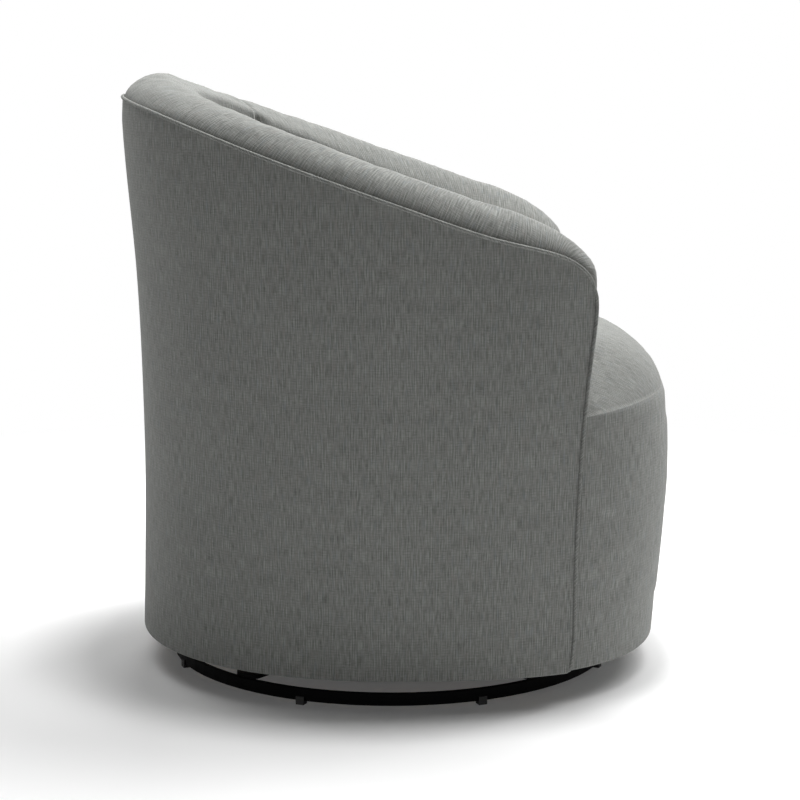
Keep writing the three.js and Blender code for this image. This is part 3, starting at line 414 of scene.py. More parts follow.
def linenCover(name):
    n = Nodes(name)
    threads = n.add("ShaderNodeUVMap", uv_map="threads").outputs[0]
    wander = n.noise(n.scaled(threads, (45, 14, 1)), detail=1.0)
    shift = n.math("MULTIPLY", n.math("SUBTRACT", wander, 0.5), 0.0022)
    placed = n.add("ShaderNodeSeparateXYZ", {0: threads}).outputs
    u = n.math("ADD", placed[0], shift)
    v = placed[1]
    fabric = n.add("ShaderNodeCombineXYZ", {0: u, 1: v}).outputs[0]
    wide, long = 1 / linen["slubWidth"], 1 / linen["slubLength"]
    warp = n.noise(n.scaled(fabric, (wide * 0.62, long, 1)), detail=0.0)
    fine = n.noise(n.scaled(fabric, (wide * 0.9, long * 1.7, 1), (4.1, 8.7, 0)), detail=0.0)
    weft = n.noise(n.scaled(fabric, (long * 2.6, wide * 0.7, 1), (7.3, 2.1, 0)), detail=0.0)
    patch = n.noise(n.scaled(fabric, (70, 42, 1), (11.2, 4.4, 0)), detail=2.0)
    cloud = n.noise(n.scaled(fabric, (9, 7, 1), (3.7, 9.1, 0)), detail=3.0)
    pitch = 2 * math.pi / linen["threadPitch"]
    across = n.math("SINE", n.math("MULTIPLY", u, pitch))
    along = n.math("SINE", n.math("MULTIPLY", v, pitch * 0.9))
    ribs = n.remap(patch, 0.38, 0.62)
    darkSlub = n.remap(warp, 0.52, 0.70)
    fineSlub = n.remap(fine, 0.52, 0.68)
    paleSlub = n.remap(warp, 0.44, 0.33)
    crossDark = n.remap(weft, 0.60, 0.70)
    crossPale = n.remap(weft, 0.40, 0.30)
    color = n.mixed(n.math("MULTIPLY", darkSlub, 0.40), linen["color"], linen["darkThread"])
    color = n.mixed(n.math("MULTIPLY", fineSlub, 0.40), color, linen["darkThread"])
    color = n.mixed(n.math("MULTIPLY", paleSlub, 0.42), color, linen["paleThread"])
    crossShare = n.math("MULTIPLY", crossDark, n.remap(patch, 0.6, 0.4, 0.16, 0.30))
    color = n.mixed(crossShare, color, linen["darkThread"])
    color = n.mixed(n.math("MULTIPLY", crossPale, 0.22), color, linen["paleThread"])
    tint = n.noise(n.scaled(fabric, (wide * 0.22, long * 0.8, 1), (1.9, 5.3, 0)), detail=1.0)
    color = n.mixed(n.remap(tint, 0.6, 0.72, 0, 0.25), color, linen["warmThread"])
    color = n.mixed(n.remap(tint, 0.4, 0.28, 0, 0.25), color, linen["coolThread"])
    shade = n.remap(cloud, 0.3, 0.7, 0.975, 1.025)
    grain = n.math("ADD", shade, n.math("MULTIPLY", across, n.remap(ribs, 0, 1, 0.06, 0.10)))
    grain = n.math("ADD", grain, n.math("MULTIPLY", along, 0.035))
    grey = n.add("ShaderNodeCombineXYZ", {0: grain, 1: grain, 2: grain}).outputs[0]
    color = n.mixed(1.0, color, grey, "MULTIPLY")
    height = n.math("MULTIPLY", warp, 1.0)
    for layer, share in ((fine, 0.7), (weft, 0.6), (across, 0.1)):
        height = n.math("ADD", height, n.math("MULTIPLY", layer, share))
    return n.finish(color=color, rough=n.remap(warp, 0.3, 0.7, 0.98, 0.86),
                    normal=n.bump(height, 0.0005, 0.6),
                    sheen=linen["sheen"], sheenRough=0.5, specular=0.2)


def powderCoat(name, color, rough):
    n = Nodes(name)
    place = n.add("ShaderNodeTexCoord").outputs["Object"]
    peel = n.noise(n.scaled(place, (900, 900, 900)), detail=1.0)
    wear = n.noise(n.scaled(place, (26, 26, 26)), detail=4.0, roughness=0.62)
    shade = n.mixed(n.remap(wear, 0.35, 0.7), color, tuple(c * 2.2 for c in color[:3]) + (1,))
    return n.finish(color=shade, rough=n.remap(wear, 0.3, 0.75, rough - 0.06, rough + 0.12),
                    normal=n.bump(peel, 0.0002, 0.35), specular=0.05)


def plate(name, color, rough, streak):
    n = Nodes(name)
    place = n.add("ShaderNodeTexCoord").outputs["Object"]
    brushed = n.noise(n.scaled(place, streak), detail=3.0, roughness=0.65)
    cloud = n.noise(n.scaled(place, (38, 38, 38)), detail=3.0)
    warm = tuple(c * k for c, k in zip(color[:3], (1.05, 0.99, 0.88))) + (1,)
    cool = tuple(c * k for c, k in zip(color[:3], (0.84, 0.9, 0.97))) + (1,)
    shade = n.mixed(n.remap(cloud, 0.35, 0.65), cool, warm)
    return n.finish(color=shade, metal=0.95, rough=n.remap(brushed, 0.3, 0.7, rough - 0.08, rough + 0.1),
                    normal=n.bump(brushed, 0.0002, 0.4))


def plywoodBoard(name, layerScale):
    n = Nodes(name)
    place = n.add("ShaderNodeTexCoord").outputs["Object"]
    grain = n.noise(n.scaled(place, (7, 160, 120)), detail=5.0, roughness=0.6)
    fibre = n.noise(n.scaled(place, (35, 900, 900)), detail=2.0)
    parts = n.add("ShaderNodeSeparateXYZ", {0: place}).outputs
    layer = n.math("SINE", n.math("MULTIPLY", parts[2], layerScale))
    color = n.mixed(n.remap(grain, 0.3, 0.72), (0.58, 0.40, 0.22, 1), (0.72, 0.55, 0.35, 1))
    color = n.mixed(n.remap(layer, 0.1, 0.9, 0, 0.4), color, (0.36, 0.22, 0.11, 1))
    height = n.math("ADD", n.math("MULTIPLY", grain, 0.7), n.math("MULTIPLY", fibre, 0.5))
    return n.finish(color=color, rough=n.remap(fibre, 0.3, 0.7, 0.62, 0.82),
                    normal=n.bump(height, 0.0004, 0.5))


def spunbond(name):
    n = Nodes(name)
    place = n.add("ShaderNodeTexCoord").outputs["Object"]
    fibre = n.noise(n.scaled(place, (420, 900, 600)), detail=4.0, roughness=0.7)
    spots = n.add("ShaderNodeTexVoronoi", {"Vector": n.scaled(place, (420, 420, 420))}).outputs["Distance"]
    color = n.mixed(n.remap(fibre, 0.3, 0.7), (0.010, 0.010, 0.011, 1), (0.034, 0.034, 0.036, 1))
    height = n.math("ADD", fibre, n.remap(spots, 0.0, 0.35))
    return n.finish(color=color, rough=n.remap(fibre, 0.3, 0.7, 0.95, 0.8),
                    normal=n.bump(height, 0.0003, 0.6))


def mouldedRubber(name):
    n = Nodes(name)
    place = n.add("ShaderNodeTexCoord").outputs["Object"]
    speck = n.noise(n.scaled(place, (1500, 1500, 1500)), detail=2.0)
    scuff = n.noise(n.scaled(place, (160, 160, 60)), detail=3.0)
    color = n.mixed(n.remap(scuff, 0.45, 0.75), (0.012, 0.012, 0.012, 1), (0.045, 0.044, 0.042, 1))
    return n.finish(color=color, rough=n.remap(scuff, 0.3, 0.7, 0.6, 0.85),
                    normal=n.bump(speck, 0.0001, 0.5))


coverLinen = linenCover("slubLinen")
finishes = {
    "black_steel": powderCoat("blackPowderCoat", (0.0007, 0.0007, 0.0008, 1), 0.5),
    "glide_rubber": mouldedRubber("glideRubber"),
    "zinc_steel": plate("zincPlate", (0.58, 0.59, 0.60, 1), 0.34, (700, 700, 700)),
    "spring_steel": plate("springWire", (0.17, 0.175, 0.18, 1), 0.36, (90, 1400, 1400)),
    "plywood": plywoodBoard("plywood", 2 * math.pi / 0.0036),
    "dust_cloth": spunbond("spunbondCloth"),
    "cover": coverLinen,
}
slotOf = {row["node"]: row["material_slot"] for row in frame["record"]["subparts"]}
for name, node in nodes.items():
    node.data.materials.clear()
    node.data.materials.append(finishes[slotOf[name]])
print("materials made")

# Outside cover of the back and arms
outsideCover = {
    "columns": 260, "faceRows": 64, "faceGaps": (0.004, 0.008), "thickness": 0.0077,
    "edgeRadius": 0.0012, "lipRadius": 0.0012, "lipDrops": (0.0055, 0.0028, 0.0016, 0.0008, 0.0003, 0.0),
    "hemRadius": 0.0045, "flap": [(0.040, 0.0028), (0.024, 0.0018), (0.012, 0.0006)],
    "flapBack": (0.02, 0.040), "beadGap": 0.0015, "unevenness": 0.0006, "fullness": 0.0006,
}
liningFoot, flapTop = 0.0036, 0.0037  # heights above the hem, inside the covers


def wallThreads(points, bearings, lengths):
    side, forward = points[..., 0], axisY - points[..., 1]
    bearing = np.abs(np.arctan2(side, forward))
    return np.sign(side) * np.interp(bearing, bearings, lengths)


def softRipple(u, v, size, seed):  # slow unevenness of stretched cloth
    draws = np.random.default_rng(seed)
    total = np.zeros(np.broadcast(u, v).shape)
    for _ in range(9):
        angle, phase = draws.uniform(0, 2 * math.pi, 2)
        wave = draws.uniform(0.12, 0.32)
        total += np.sin((u * math.cos(angle) + v * math.sin(angle)) * 2 * math.pi / wave + phase)
    return total * size / 3


def coverSection(plan, high, sideTurn):  # depths and heights from the flap under the hem, round to its back
    hem, radius = shape["hemHeight"], plan["hemRadius"]
    outer = [(d, hem + rise) for d, rise in plan["flap"]]
    outer += [(radius - radius * math.sin(a), hem + radius - radius * math.cos(a))
              for a in np.linspace(0, math.pi / 2, 6)]
    low, end = hem + radius + plan["faceGaps"][0], high - plan["faceGaps"][1]
    outer += [(0.0, h) for h in np.linspace(low, end, plan["faceRows"])]
    outer += [(float(roundedEdge(high - h, plan["lipRadius"])), h) for h in high - np.array(plan["lipDrops"])]
    outer = [(d + sideTurn, h) for d, h in outer]
    back = [(d, hem + flapTop) for d in plan["flapBack"]]
    heights = np.linspace(high, hem + liningFoot, len(outer) - len(back))
    return outer + [(plan["thickness"], h) for h in heights] + back


def makeOutsideCover(plan):
    limit = 1 - plan["beadGap"] / wallLength
    s = np.linspace(-1, 1, plan["columns"])
    stations = np.sign(s) * (1 - (1 - np.abs(s)) ** 1.25) * limit
    endGap = (limit - np.abs(stations)) * wallLength
    top = topEdge(stations / limit) - plan["beadGap"]
    turns = roundedEdge(endGap, plan["edgeRadius"])
    section = np.array([coverSection(plan, high, float(turn)) for high, turn in zip(top, turns)])
    grid = wallPoint(stations[:, None], section[..., 1], section[..., 0])
    bearings, lengths = bearingLengths(0.4)
    u = wallThreads(grid, bearings, lengths)
    v = section[..., 1] - section[..., 0] * (section[..., 1] < shape["boardBottom"])
    ripple = softRipple(u, v, plan["unevenness"], 4)
    fade = blendStep(section[..., 1], 0.05, 0.1) * blendStep(top[:, None] - section[..., 1], 0.0, 0.05)
    fade = fade * blendStep(endGap[:, None], 0.0, 0.05) * (section[..., 0] < 0.0001)
    raised = ripple * fade + plan["fullness"] * fade
    grid = wallPoint(stations[:, None], section[..., 1], section[..., 0] + raised)
    return sectionPiece("outsideCover", grid, np.stack([u, v], -1))


cover = makeOutsideCover(outsideCover)
dress(cover, "chair", ["outside_panel"], coverLinen)
print("outside cover made:", len(cover.data.polygons), "faces")

# Padding of the back and arms
padding = {
    "rise": [(0, 0.0302), (0.12, 0.0256), (0.25, 0.0237), (0.36, 0.0275), (0.47, 0.0332),
             (0.58, 0.0372), (0.7, 0.0401), (0.82, 0.042), (0.92, 0.0366), (1, 0.0077)],
    "depthTop": 0.104, "extraDepth": 0.062, "leanHeight": 0.300, "outerDepth": 0.0477,
    "frontDepth": 0.0085, "frontShares": (0.925, 0.94), "edgeGap": 0.0003, "beadReach": 0.0032,
    "seam": 0.32, "seamPull": 0.004, "seamWidth": 0.006, "seamGap": 0.0003,
    "tipRounding": 0.016, "leanReach": 0.029, "leanShare": 0.90, "flattening": 0.002, "ease": 0.004,
    "step": 0.008, "rollPoints": 25, "innerPoints": 44, "beadRadius": 0.0025,
    "endGaps": (0.0008, 0.0016, 0.0024, 0.0031, 0.0035, 0.0055, 0.0085, 0.012, 0.016),
    "threadTake": 0.86, "slopeSpots": 161, "slopePasses": 10,
}


def padDepth(station, height):
    along = np.clip(np.abs(station) / padding["seam"], 0, 1)
    down = np.clip((topEdge(station) - height) / padding["leanHeight"], 0, 1)
    return padding["depthTop"] + padding["extraDepth"] * (1 + np.cos(math.pi * along)) / 2 * down


def besideBead(distance):  # how far the padding stays back from the wall's outer face next to the bead
    return np.sqrt(np.clip(padding["beadRadius"] ** 2 - np.asarray(distance, float) ** 2, 0, 1)) + 0.0001


def padSection(station):  # depths, heights and forward leans round one section
    top = float(topEdge(station))
    toTip = (1 - abs(station)) * wallLength
    run = min(max(toTip / padding["tipRounding"], 0), 1)
    tip = math.sqrt(1 - (1 - run) ** 2)
    rise = float(smoothAt(padding["rise"], abs(station))) * tip
    lean = padding["leanReach"] * float(blendStep(abs(station), padding["leanShare"], 1)) * tip
    rounding = padding["tipRounding"] * (1 - tip)
    foot = shape["deckTop"] + padding["edgeGap"]
    lip = top - padding["beadReach"]
    nearTip = float(blendStep(abs(station), *padding["frontShares"]))
    front = float(besideBead(toTip)) if toTip < padding["beadReach"] else padding["frontDepth"]
    outerDepth = padding["outerDepth"] + (front - padding["outerDepth"]) * nearTip
    clear = float(besideBead(0))
    middle = (clear + padding["depthTop"] - rounding) / 2
    toSeam = abs(abs(station) - padding["seam"]) * wallLength
    pull = padding["seamPull"] * math.exp(-(toSeam / padding["seamWidth"]) ** 2)
    heights = np.linspace(foot, lip - padding["edgeGap"], padding["innerPoints"] - 1)
    outer = [(outerDepth, h, 0) for h in heights]
    outer.append((clear, lip, 0))
    roll = []
    for a in np.linspace(0, math.pi, padding["rollPoints"]):
        sunk = pull * float(blendStep(a, 0.42 * math.pi, 0.7 * math.pi))
        flat = padding["flattening"] * tip * math.sin(min(2.4 * a, math.pi))
        ease = padding["ease"] * math.sin(2 * a) ** 2 * (a > math.pi / 2)
        depth = middle - (middle - clear) * math.cos(a) + (sunk + ease) * math.cos(a) + flat
        roll.append((depth, top + rise * math.sin(a) - (sunk + ease) * math.sin(a), lean * math.sin(a)))
    heights = np.linspace(top, foot, padding["innerPoints"] + 1)[1:]
    inner = [(float(padDepth(station, h)) - rounding - pull, h, 0) for h in heights]
    return outer + roll + inner


def padStations(first, last):
    count = int(abs(last - first) * wallLength / padding["step"]) + 1
    stations = list(np.linspace(first, last, count))
    for end in (first, last):
        into = 1 if end == first else -1
        stations += [end + into * gap / wallLength for gap in padding["endGaps"]]
    return np.array(sorted(stations))


def padThreads(stations, grid):  # upright threads on the inside face, carried straight on over the roll
    bearings, lengths = bearingLengths(0.5)
    middle = wallPoint(stations, topEdge(stations), 0.05)
    run = wallThreads(middle, bearings, lengths) * padding["threadTake"]
    crest = np.interp(np.linspace(0, 1, padding["slopeSpots"]), np.linspace(0, 1, len(run)), run)
    height = np.interp(crest, run, middle[:, 2])
    slope = np.gradient(height, crest)
    for _ in range(padding["slopePasses"]):
        slope[1:-1] = slope[1:-1] * 0.5 + (slope[:-2] + slope[2:]) * 0.25
    slope = np.arctan(np.clip(np.interp(run, crest, slope), -0.5, 0.5))
    bend = padding["innerPoints"] + padding["rollPoints"] - 1
    across = alongLine(grid, 1)
    across = across - across[:, bend:bend + 1]
    u = run[:, None] + across * np.sin(slope)[:, None]
    v = -middle[:, 2:3] + across * np.cos(slope)[:, None]
    return np.stack([u, v], -1)


padCloth = {"voxel": 0.007, "stiffness": 12, "bending": 0.3, "pressure": 4, "fullness": 0.015, "frames": 14,
            "cap": 0.0012, "broad": 0.05}


def padFreedom(stations, first, last, count):  # the padding is held where it is tacked and at its seams
    inner, roll = padding["innerPoints"], padding["rollPoints"]
    across = np.concatenate([np.zeros(inner), blendStep(np.linspace(0, 180, roll), 4, 50),
                             1 - blendStep(np.linspace(0, 1, inner), 0.55, 0.8)])
    toStart, toEnd = (stations - first) * wallLength, (last - stations) * wallLength
    along = blendStep(toStart, 0.002, 0.03) * blendStep(toEnd, 0.002, 0.03)
    free = (along[:, None] * across[None, :]).ravel()
    return np.concatenate([free, np.zeros(count - len(free))])


def makePad(name, first, last, capSpots):
    stations = padStations(first, last)
    section = np.array([padSection(station) for station in stations])
    grid = wallPoint(stations[:, None], section[..., 1], section[..., 0])
    grid[..., 1] -= section[..., 2]
    seamEnds = [end for end, station in ((0, first), (-1, last)) if abs(station) < 1]
    pad = sectionPiece(name, grid, padThreads(stations, grid), capSpots, seamEnds)
    clothFill(pad, padFreedom(stations, first, last, len(pad.data.vertices)), padCloth)
    return pad


seamGap = padding["seamGap"] / wallLength
pads = {"backPad": ("back_pad", seamGap - padding["seam"], padding["seam"] - seamGap),
        "armPadLeft": ("arm_pad_left", padding["seam"] + seamGap, 1),
        "armPadRight": ("arm_pad_right", -1, -padding["seam"] - seamGap)}
for name, (node, first, last) in pads.items():
    pad = makePad(name, first, last, 12)
    dress(pad, "chair", [node], coverLinen)
    print("pad made:", name, len(pad.data.polygons), "faces")

# Padded front border of the seat
crownProfile = [(0, 0, 0), (0.1, 0.017, 0), (0.265, 0.05, 0.01), (0.44, 0.105, 0.02),
                (0.61, 0.19, 0.045), (0.775, 0.305, 0.11), (0.855, 0.4, 0.22),
                (0.92, 0.56, 0.42), (0.97, 0.78, 0.71), (1, 1, 1)]
border = {
    "columns": 150, "crownHeight": 0.484, "crownRun": 0.200, "faceRows": 52, "faceGaps": (0.004, 0.006),
    "thickness": 0.046, "edgeRadius": 0.004, "hemRadius": 0.0045, "faceRadius": 0.36,
    "lipRadius": 0.0012, "lipDrops": (0.004, 0.003, 0.0018, 0.0009, 0.0003, 0.0),
    "flap": [(0.085, 0.0028), (0.04, 0.0018), (0.012, 0.0006)], "flapBack": (0.085,),
    "seamHeight": 0.382, "seamGap": 0.0003, "seamLift": 0.014, "liftRange": 0.05,
}


def frontReach(height):  # reach of the seat's face and crown at each height
    crown = np.array(crownProfile)
    up = (height - border["seamHeight"]) / (border["crownHeight"] - border["seamHeight"])
    return smoothAt(shape["seatReach"], height) - smoothAt(crown[:, :2], up) * border["crownRun"]


def liftSeam(points):  # the seam line rises a little from each arm front, and slides over the same form
    side, forward, height = points[..., 0], axisY - points[..., 1], points[..., 2]
    share = np.clip(np.abs(np.arctan2(side, forward)) / seatLimit(height), 0, 1)
    near = np.exp(-((height - border["seamHeight"]) / border["liftRange"]) ** 2)
    lift = border["seamLift"] * (1 - share ** 2) * near * (forward > 0.1)
    inward = frontReach(height) - frontReach(height + lift)
    normalX = np.sign(side) * (np.abs(side) / shape["armHalfWidth"]) ** (shape["seatFullness"] - 1)
    normalY = (np.clip(forward, 0, 1) / shape["armOutlineReach"]) ** (shape["seatFullness"] - 1)
    size = np.hypot(normalX, normalY) + 0.000001
    return points + np.stack([-normalX / size * inward, normalY / size * inward, lift], -1)


def makeBorder(plan):
    shares = np.linspace(-1, 1, plan["columns"])
    shares = np.sign(shares) * (1 - (1 - np.abs(shares)) ** 1.2)
    high = plan["seamHeight"] - plan["seamGap"]
    turns = roundedEdge((1 - np.abs(shares)) * plan["faceRadius"], plan["edgeRadius"])
    section = np.array([coverSection(plan, high, float(turn)) for turn in turns])
    bearing = seatLimit(section[..., 1]) * shares[:, None]
    grid = liftSeam(seatPoint(bearing, section[..., 1], section[..., 0]))
    u = bearing * plan["faceRadius"]
    v = section[..., 1] - section[..., 0] * (section[..., 1] < shape["boardBottom"])
    return sectionPiece("seatBorder", grid, np.stack([u, v], -1))


seatBorder = makeBorder(border)
borderCloth = {"voxel": 0.009, "stiffness": 14, "bending": 0.5, "pressure": 3, "fullness": 0.012,
               "frames": 14, "cap": 0.0012, "broad": 0.07}


def borderFreedom(piece):
    points = pointsOf(piece.data)
    side, forward, height = points[:, 0], axisY - points[:, 1], points[:, 2]
    bearing = np.abs(np.arctan2(side, forward))
    face = seatPoint(bearing, height, 0.0)
    inset = np.hypot(np.abs(side) - face[:, 0], points[:, 1] - face[:, 1])
    free = blendStep(height, 0.06, 0.12) * (1 - blendStep(height, 0.33, 0.375)) * (inset < 0.02)
    return free * (1 - blendStep(bearing / seatLimit(height), 0.88, 0.97))


clothFill(seatBorder, borderFreedom(seatBorder), borderCloth)
dress(seatBorder, "chair", ["seat_border"], coverLinen)
print("seat border made")

# Seat cushion
cushion = {
    "bottom": 0.3220, "seamHeight": 0.382, "crownHeight": 0.484, "frontRun": 0.200, "wallRun": 0.110,
    "underFront": 0.0469, "wallGap": 0.0012, "frontSpots": 120, "earSpots": 14, "wallSpots": 210,
    "crown": crownProfile, "crownRows": 34, "topRows": 22, "topRise": 0.003, "seamRadius": 0.0014,
    "sideEase": 0.018, "crownRise": 0.102, "threadDrop": 0.16, "underInsets": (0.03, 0.015, 0.005, 0.0014),
}


def cushionRing(height, frontInset, wallInset, plan):
    limit = float(seatLimit(height))
    shares = np.linspace(-1, 1, plan["frontSpots"])
    bearings = limit * shares
    cornerInset = max(float(padDepth(1.0, height)) + wallInset, frontInset) + plan["wallGap"]
    up = np.clip((height - plan["seamHeight"]) / (plan["crownHeight"] - plan["seamHeight"]), 0, 1)
    ease = plan["sideEase"] * math.sin(math.pi * up) * blendStep(np.abs(shares), 0.45, 0.95)
    front = seatPoint(bearings, height, frontInset + ease)
    slide = np.linspace(0, 1, plan["earSpots"] + 1)[1:]
    left = seatPoint(limit, height, frontInset + (cornerInset - frontInset) * slide)
    right = seatPoint(-limit, height, frontInset + (cornerInset - frontInset) * slide)
    stations = np.linspace(1, -1, plan["wallSpots"])
    padFace = padDepth(stations, np.full(stations.shape, height))
    wall = wallPoint(stations, height, padFace + plan["wallGap"] + wallInset)
    return np.concatenate([front, left, wall, right[::-1]])


def makeCushion(plan):
    rows = [(plan["bottom"], plan["underFront"], 0.0)]
    seam = plan["seamHeight"]
    rows += [(h, plan["underFront"], 0.0) for h in np.linspace(plan["bottom"] + 0.004, seam - 0.0003, 7)]
    rows += [(seam, d, 0.0) for d in plan["underInsets"]]
    crown = np.array(plan["crown"])
    steps = np.hypot(np.diff(crown[:, 0]) * plan["crownRise"], np.diff(crown[:, 1]) * plan["frontRun"])
    spots = np.concatenate([[0], np.cumsum(steps)]) / steps.sum()
    t = np.linspace(0, 1, plan["crownRows"]) ** 1.15
    up, front, wall = (smoothAt(np.stack([spots, crown[:, k]], 1), t) for k in range(3))
    rise = plan["crownHeight"] - seam
    for u, f, w in zip(up, front, wall):
        height = seam + rise * u
        turn = float(roundedEdge(height - seam, plan["seamRadius"]))
        rows.append((height, f * plan["frontRun"] + turn, w * plan["wallRun"]))
    rings = [cushionRing(h, f, w, plan) for h, f, w in rows]
    last = rings[-1]
    centre = np.array([0.0, last[:, 1].mean(), 0.0])
    for k in range(1, plan["topRows"] + 1):
        share = k / plan["topRows"]
        ring = last + (centre - last) * share
        ring[:, 2] = plan["crownHeight"] + plan["topRise"] * (1 - (1 - share) ** 2)
        rings.append(ring)
    under = rings[0].copy()
    base = under + (np.array([0.0, under[:, 1].mean(), 0.0]) - under) * 0.5
    base[:, 2] = plan["bottom"]
    return liftSeam(np.array([base] + rings))


def cushionPiece(grid, plan):
    rows, count = grid.shape[:2]
    points = grid.reshape(-1, 3)
    index = np.arange(rows * count).reshape(rows, count)
    index[-1] = index[-1, 0]
    loop = np.concatenate([index, index[:, :1]], 1)
    outward = points[loop]
    drop = np.clip(plan["crownHeight"] - outward[..., 2], 0, plan["threadDrop"])
    direction = outward[..., :2] - [0.0, axisY - 0.05]
    direction /= np.linalg.norm(direction, axis=-1, keepdims=True) + 1e-6
    threads = outward[..., :2] + direction * drop[..., None]
    base = loop[0]
    middle = np.full_like(base, len(points))
    points = np.concatenate([points, [points[base].mean(0)]])
    bottom = np.stack([middle, base])
    flat = points[bottom][..., :2]
    return makePiece("seatCushion", points, [(loop, threads), (bottom, flat)])


seatCushion = cushionPiece(makeCushion(cushion), cushion)
seatCloth = {"voxel": 0.009, "stiffness": 10, "bending": 0.4, "pressure": 4, "fullness": 0.02, "frames": 14,
             "cap": 0.0008, "broad": 0.07}
clothFill(seatCushion, blendStep(pointsOf(seatCushion.data)[:, 2], 0.398, 0.43), seatCloth)
dress(seatCushion, "chair", ["seat_cushion"], coverLinen)
print("seat cushion made:", len(seatCushion.data.polygons), "faces")

# Welt bead
welt = {"radius": 0.0025, "sides": 14, "step": 0.0025, "frontSpots": 160, "topSpots": 900, "smoothing": 6,
        "tuck": [(0.0075, 0.0447), (0.0045, 0.0449), (0.0018, 0.0459), (0.0003, 0.048)]}


def weltLine():
    heights = np.linspace(shape["hemHeight"] + 0.004, shape["armFrontHeight"], welt["frontSpots"])
    depths, tuck = np.array(welt["tuck"]).T
    right = np.concatenate([wallPoint(-1.0, tuck, depths), wallPoint(-1.0, heights[2:-1], 0.0)])
    stations = np.linspace(-1, 1, welt["topSpots"])
    stations = np.sign(stations) * (1 - (1 - np.abs(stations)) ** 1.4)
    over = wallPoint(stations, topEdge(stations), 0.0)
    left = right[::-1] * [-1, 1, 1]
    line = np.concatenate([right, over, left])
    length = alongLine(line)
    even = np.linspace(0, length[-1], int(length[-1] / welt["step"]))
    line = np.stack([np.interp(even, length, line[:, k]) for k in range(3)], -1)
    for _ in range(welt["smoothing"]):
        line[1:-1] = line[1:-1] * 0.5 + (line[:-2] + line[2:]) * 0.25
    return line


def groupInput(tree, name, kind, value):
    socket = tree.interface.new_socket(name, in_out="INPUT", socket_type=kind)
    socket.default_value = value
    return socket


def weltTree(material):
    tree = bpy.data.node_groups.new("weltBead", "GeometryNodeTree")
    tree.interface.new_socket("Geometry", in_out="INPUT", socket_type="NodeSocketGeometry")
    radius = groupInput(tree, "Bead radius", "NodeSocketFloat", 0.003)
    sides = groupInput(tree, "Sides", "NodeSocketInt", 12)
    bias = groupInput(tree, "Bias angle", "NodeSocketFloat", 0.7)
    tree.interface.new_socket("Geometry", in_out="OUTPUT", socket_type="NodeSocketGeometry")
    new, link = tree.nodes.new, tree.links.new
    given, result = new("NodeGroupInput"), new("NodeGroupOutput")
    profile = new("GeometryNodeCurveArc")
    profile.inputs["Start Angle"].default_value = 0
    profile.inputs["Sweep Angle"].default_value = 2 * math.pi
    link(given.outputs["Sides"], profile.inputs["Resolution"])
    link(given.outputs["Bead radius"], profile.inputs["Radius"])
    lengths = []
    captured = []
    for source in (given.outputs["Geometry"], profile.outputs["Curve"]):
        capture = new("GeometryNodeCaptureAttribute")
        capture.capture_items.new("FLOAT", "run")
        parameter = new("GeometryNodeSplineParameter")
        link(source, capture.inputs["Geometry"])
        link(parameter.outputs["Length"], capture.inputs["run"])
        lengths.append(capture.outputs["run"])
        captured.append(capture.outputs["Geometry"])
    sweep = new("GeometryNodeCurveToMesh")
    link(captured[0], sweep.inputs["Curve"])
    link(captured[1], sweep.inputs["Profile Curve"])
    flat = new("ShaderNodeCombineXYZ")
    link(lengths[0], flat.inputs[0])
    link(lengths[1], flat.inputs[1])
    turned = new("ShaderNodeVectorRotate")
    turned.rotation_type = "Z_AXIS"
    link(flat.outputs[0], turned.inputs["Vector"])
    link(given.outputs["Bias angle"], turned.inputs["Angle"])
    store = new("GeometryNodeStoreNamedAttribute")
    store.data_type = "FLOAT2"
    store.domain = "CORNER"
    store.inputs["Name"].default_value = "threads"
    link(sweep.outputs["Mesh"], store.inputs["Geometry"])
    link(turned.outputs[0], store.inputs["Value"])
    weld = new("GeometryNodeMergeByDistance")
    weld.inputs["Distance"].default_value = 0.00002
    link(store.outputs["Geometry"], weld.inputs["Geometry"])
    smooth = new("GeometryNodeSetShadeSmooth")
    link(weld.outputs["Geometry"], smooth.inputs["Geometry"])
    realize = new("GeometryNodeRealizeInstances")
    link(smooth.outputs["Geometry"], realize.inputs["Geometry"])
    setMaterial = new("GeometryNodeSetMaterial")
    setMaterial.inputs["Material"].default_value = material
    link(realize.outputs["Geometry"], setMaterial.inputs["Geometry"])
    link(setMaterial.outputs["Geometry"], result.inputs["Geometry"])
    return tree, {"radius": radius.identifier, "sides": sides.identifier, "bias": bias.identifier}


def makeWelt(plan):
    line = weltLine()
    curve = bpy.data.curves.new("weltLine", "CURVE")
    curve.dimensions = "3D"
    spline = curve.splines.new("POLY")
    spline.points.add(len(line) - 1)
    spline.points.foreach_set("co", np.concatenate([line, np.ones((len(line), 1))], 1).ravel())
    length = alongLine(line)
    toEnd = np.minimum(length, length[-1] - length) / plan["radius"]
    spline.points.foreach_set("radius", np.sqrt(np.clip(1 - (1 - np.clip(toEnd, 0, 1)) ** 2, 1e-6, 1)))
    guide = bpy.data.objects.new("weltGuide", curve)
    bpy.context.scene.collection.objects.link(guide)
    tree, sockets = weltTree(coverLinen)
    modifier = guide.modifiers.new("bead", "NODES")
    modifier.node_group = tree
    modifier[sockets["radius"]] = plan["radius"]
    modifier[sockets["sides"]] = plan["sides"] + 1
    modifier[sockets["bias"]] = math.pi / 4
    return plainMesh(guide, "weltBead")


weltBead = makeWelt(welt)
dress(weltBead, "chair", ["welt"], coverLinen)
print("welt made:", len(weltBead.data.polygons), "faces")

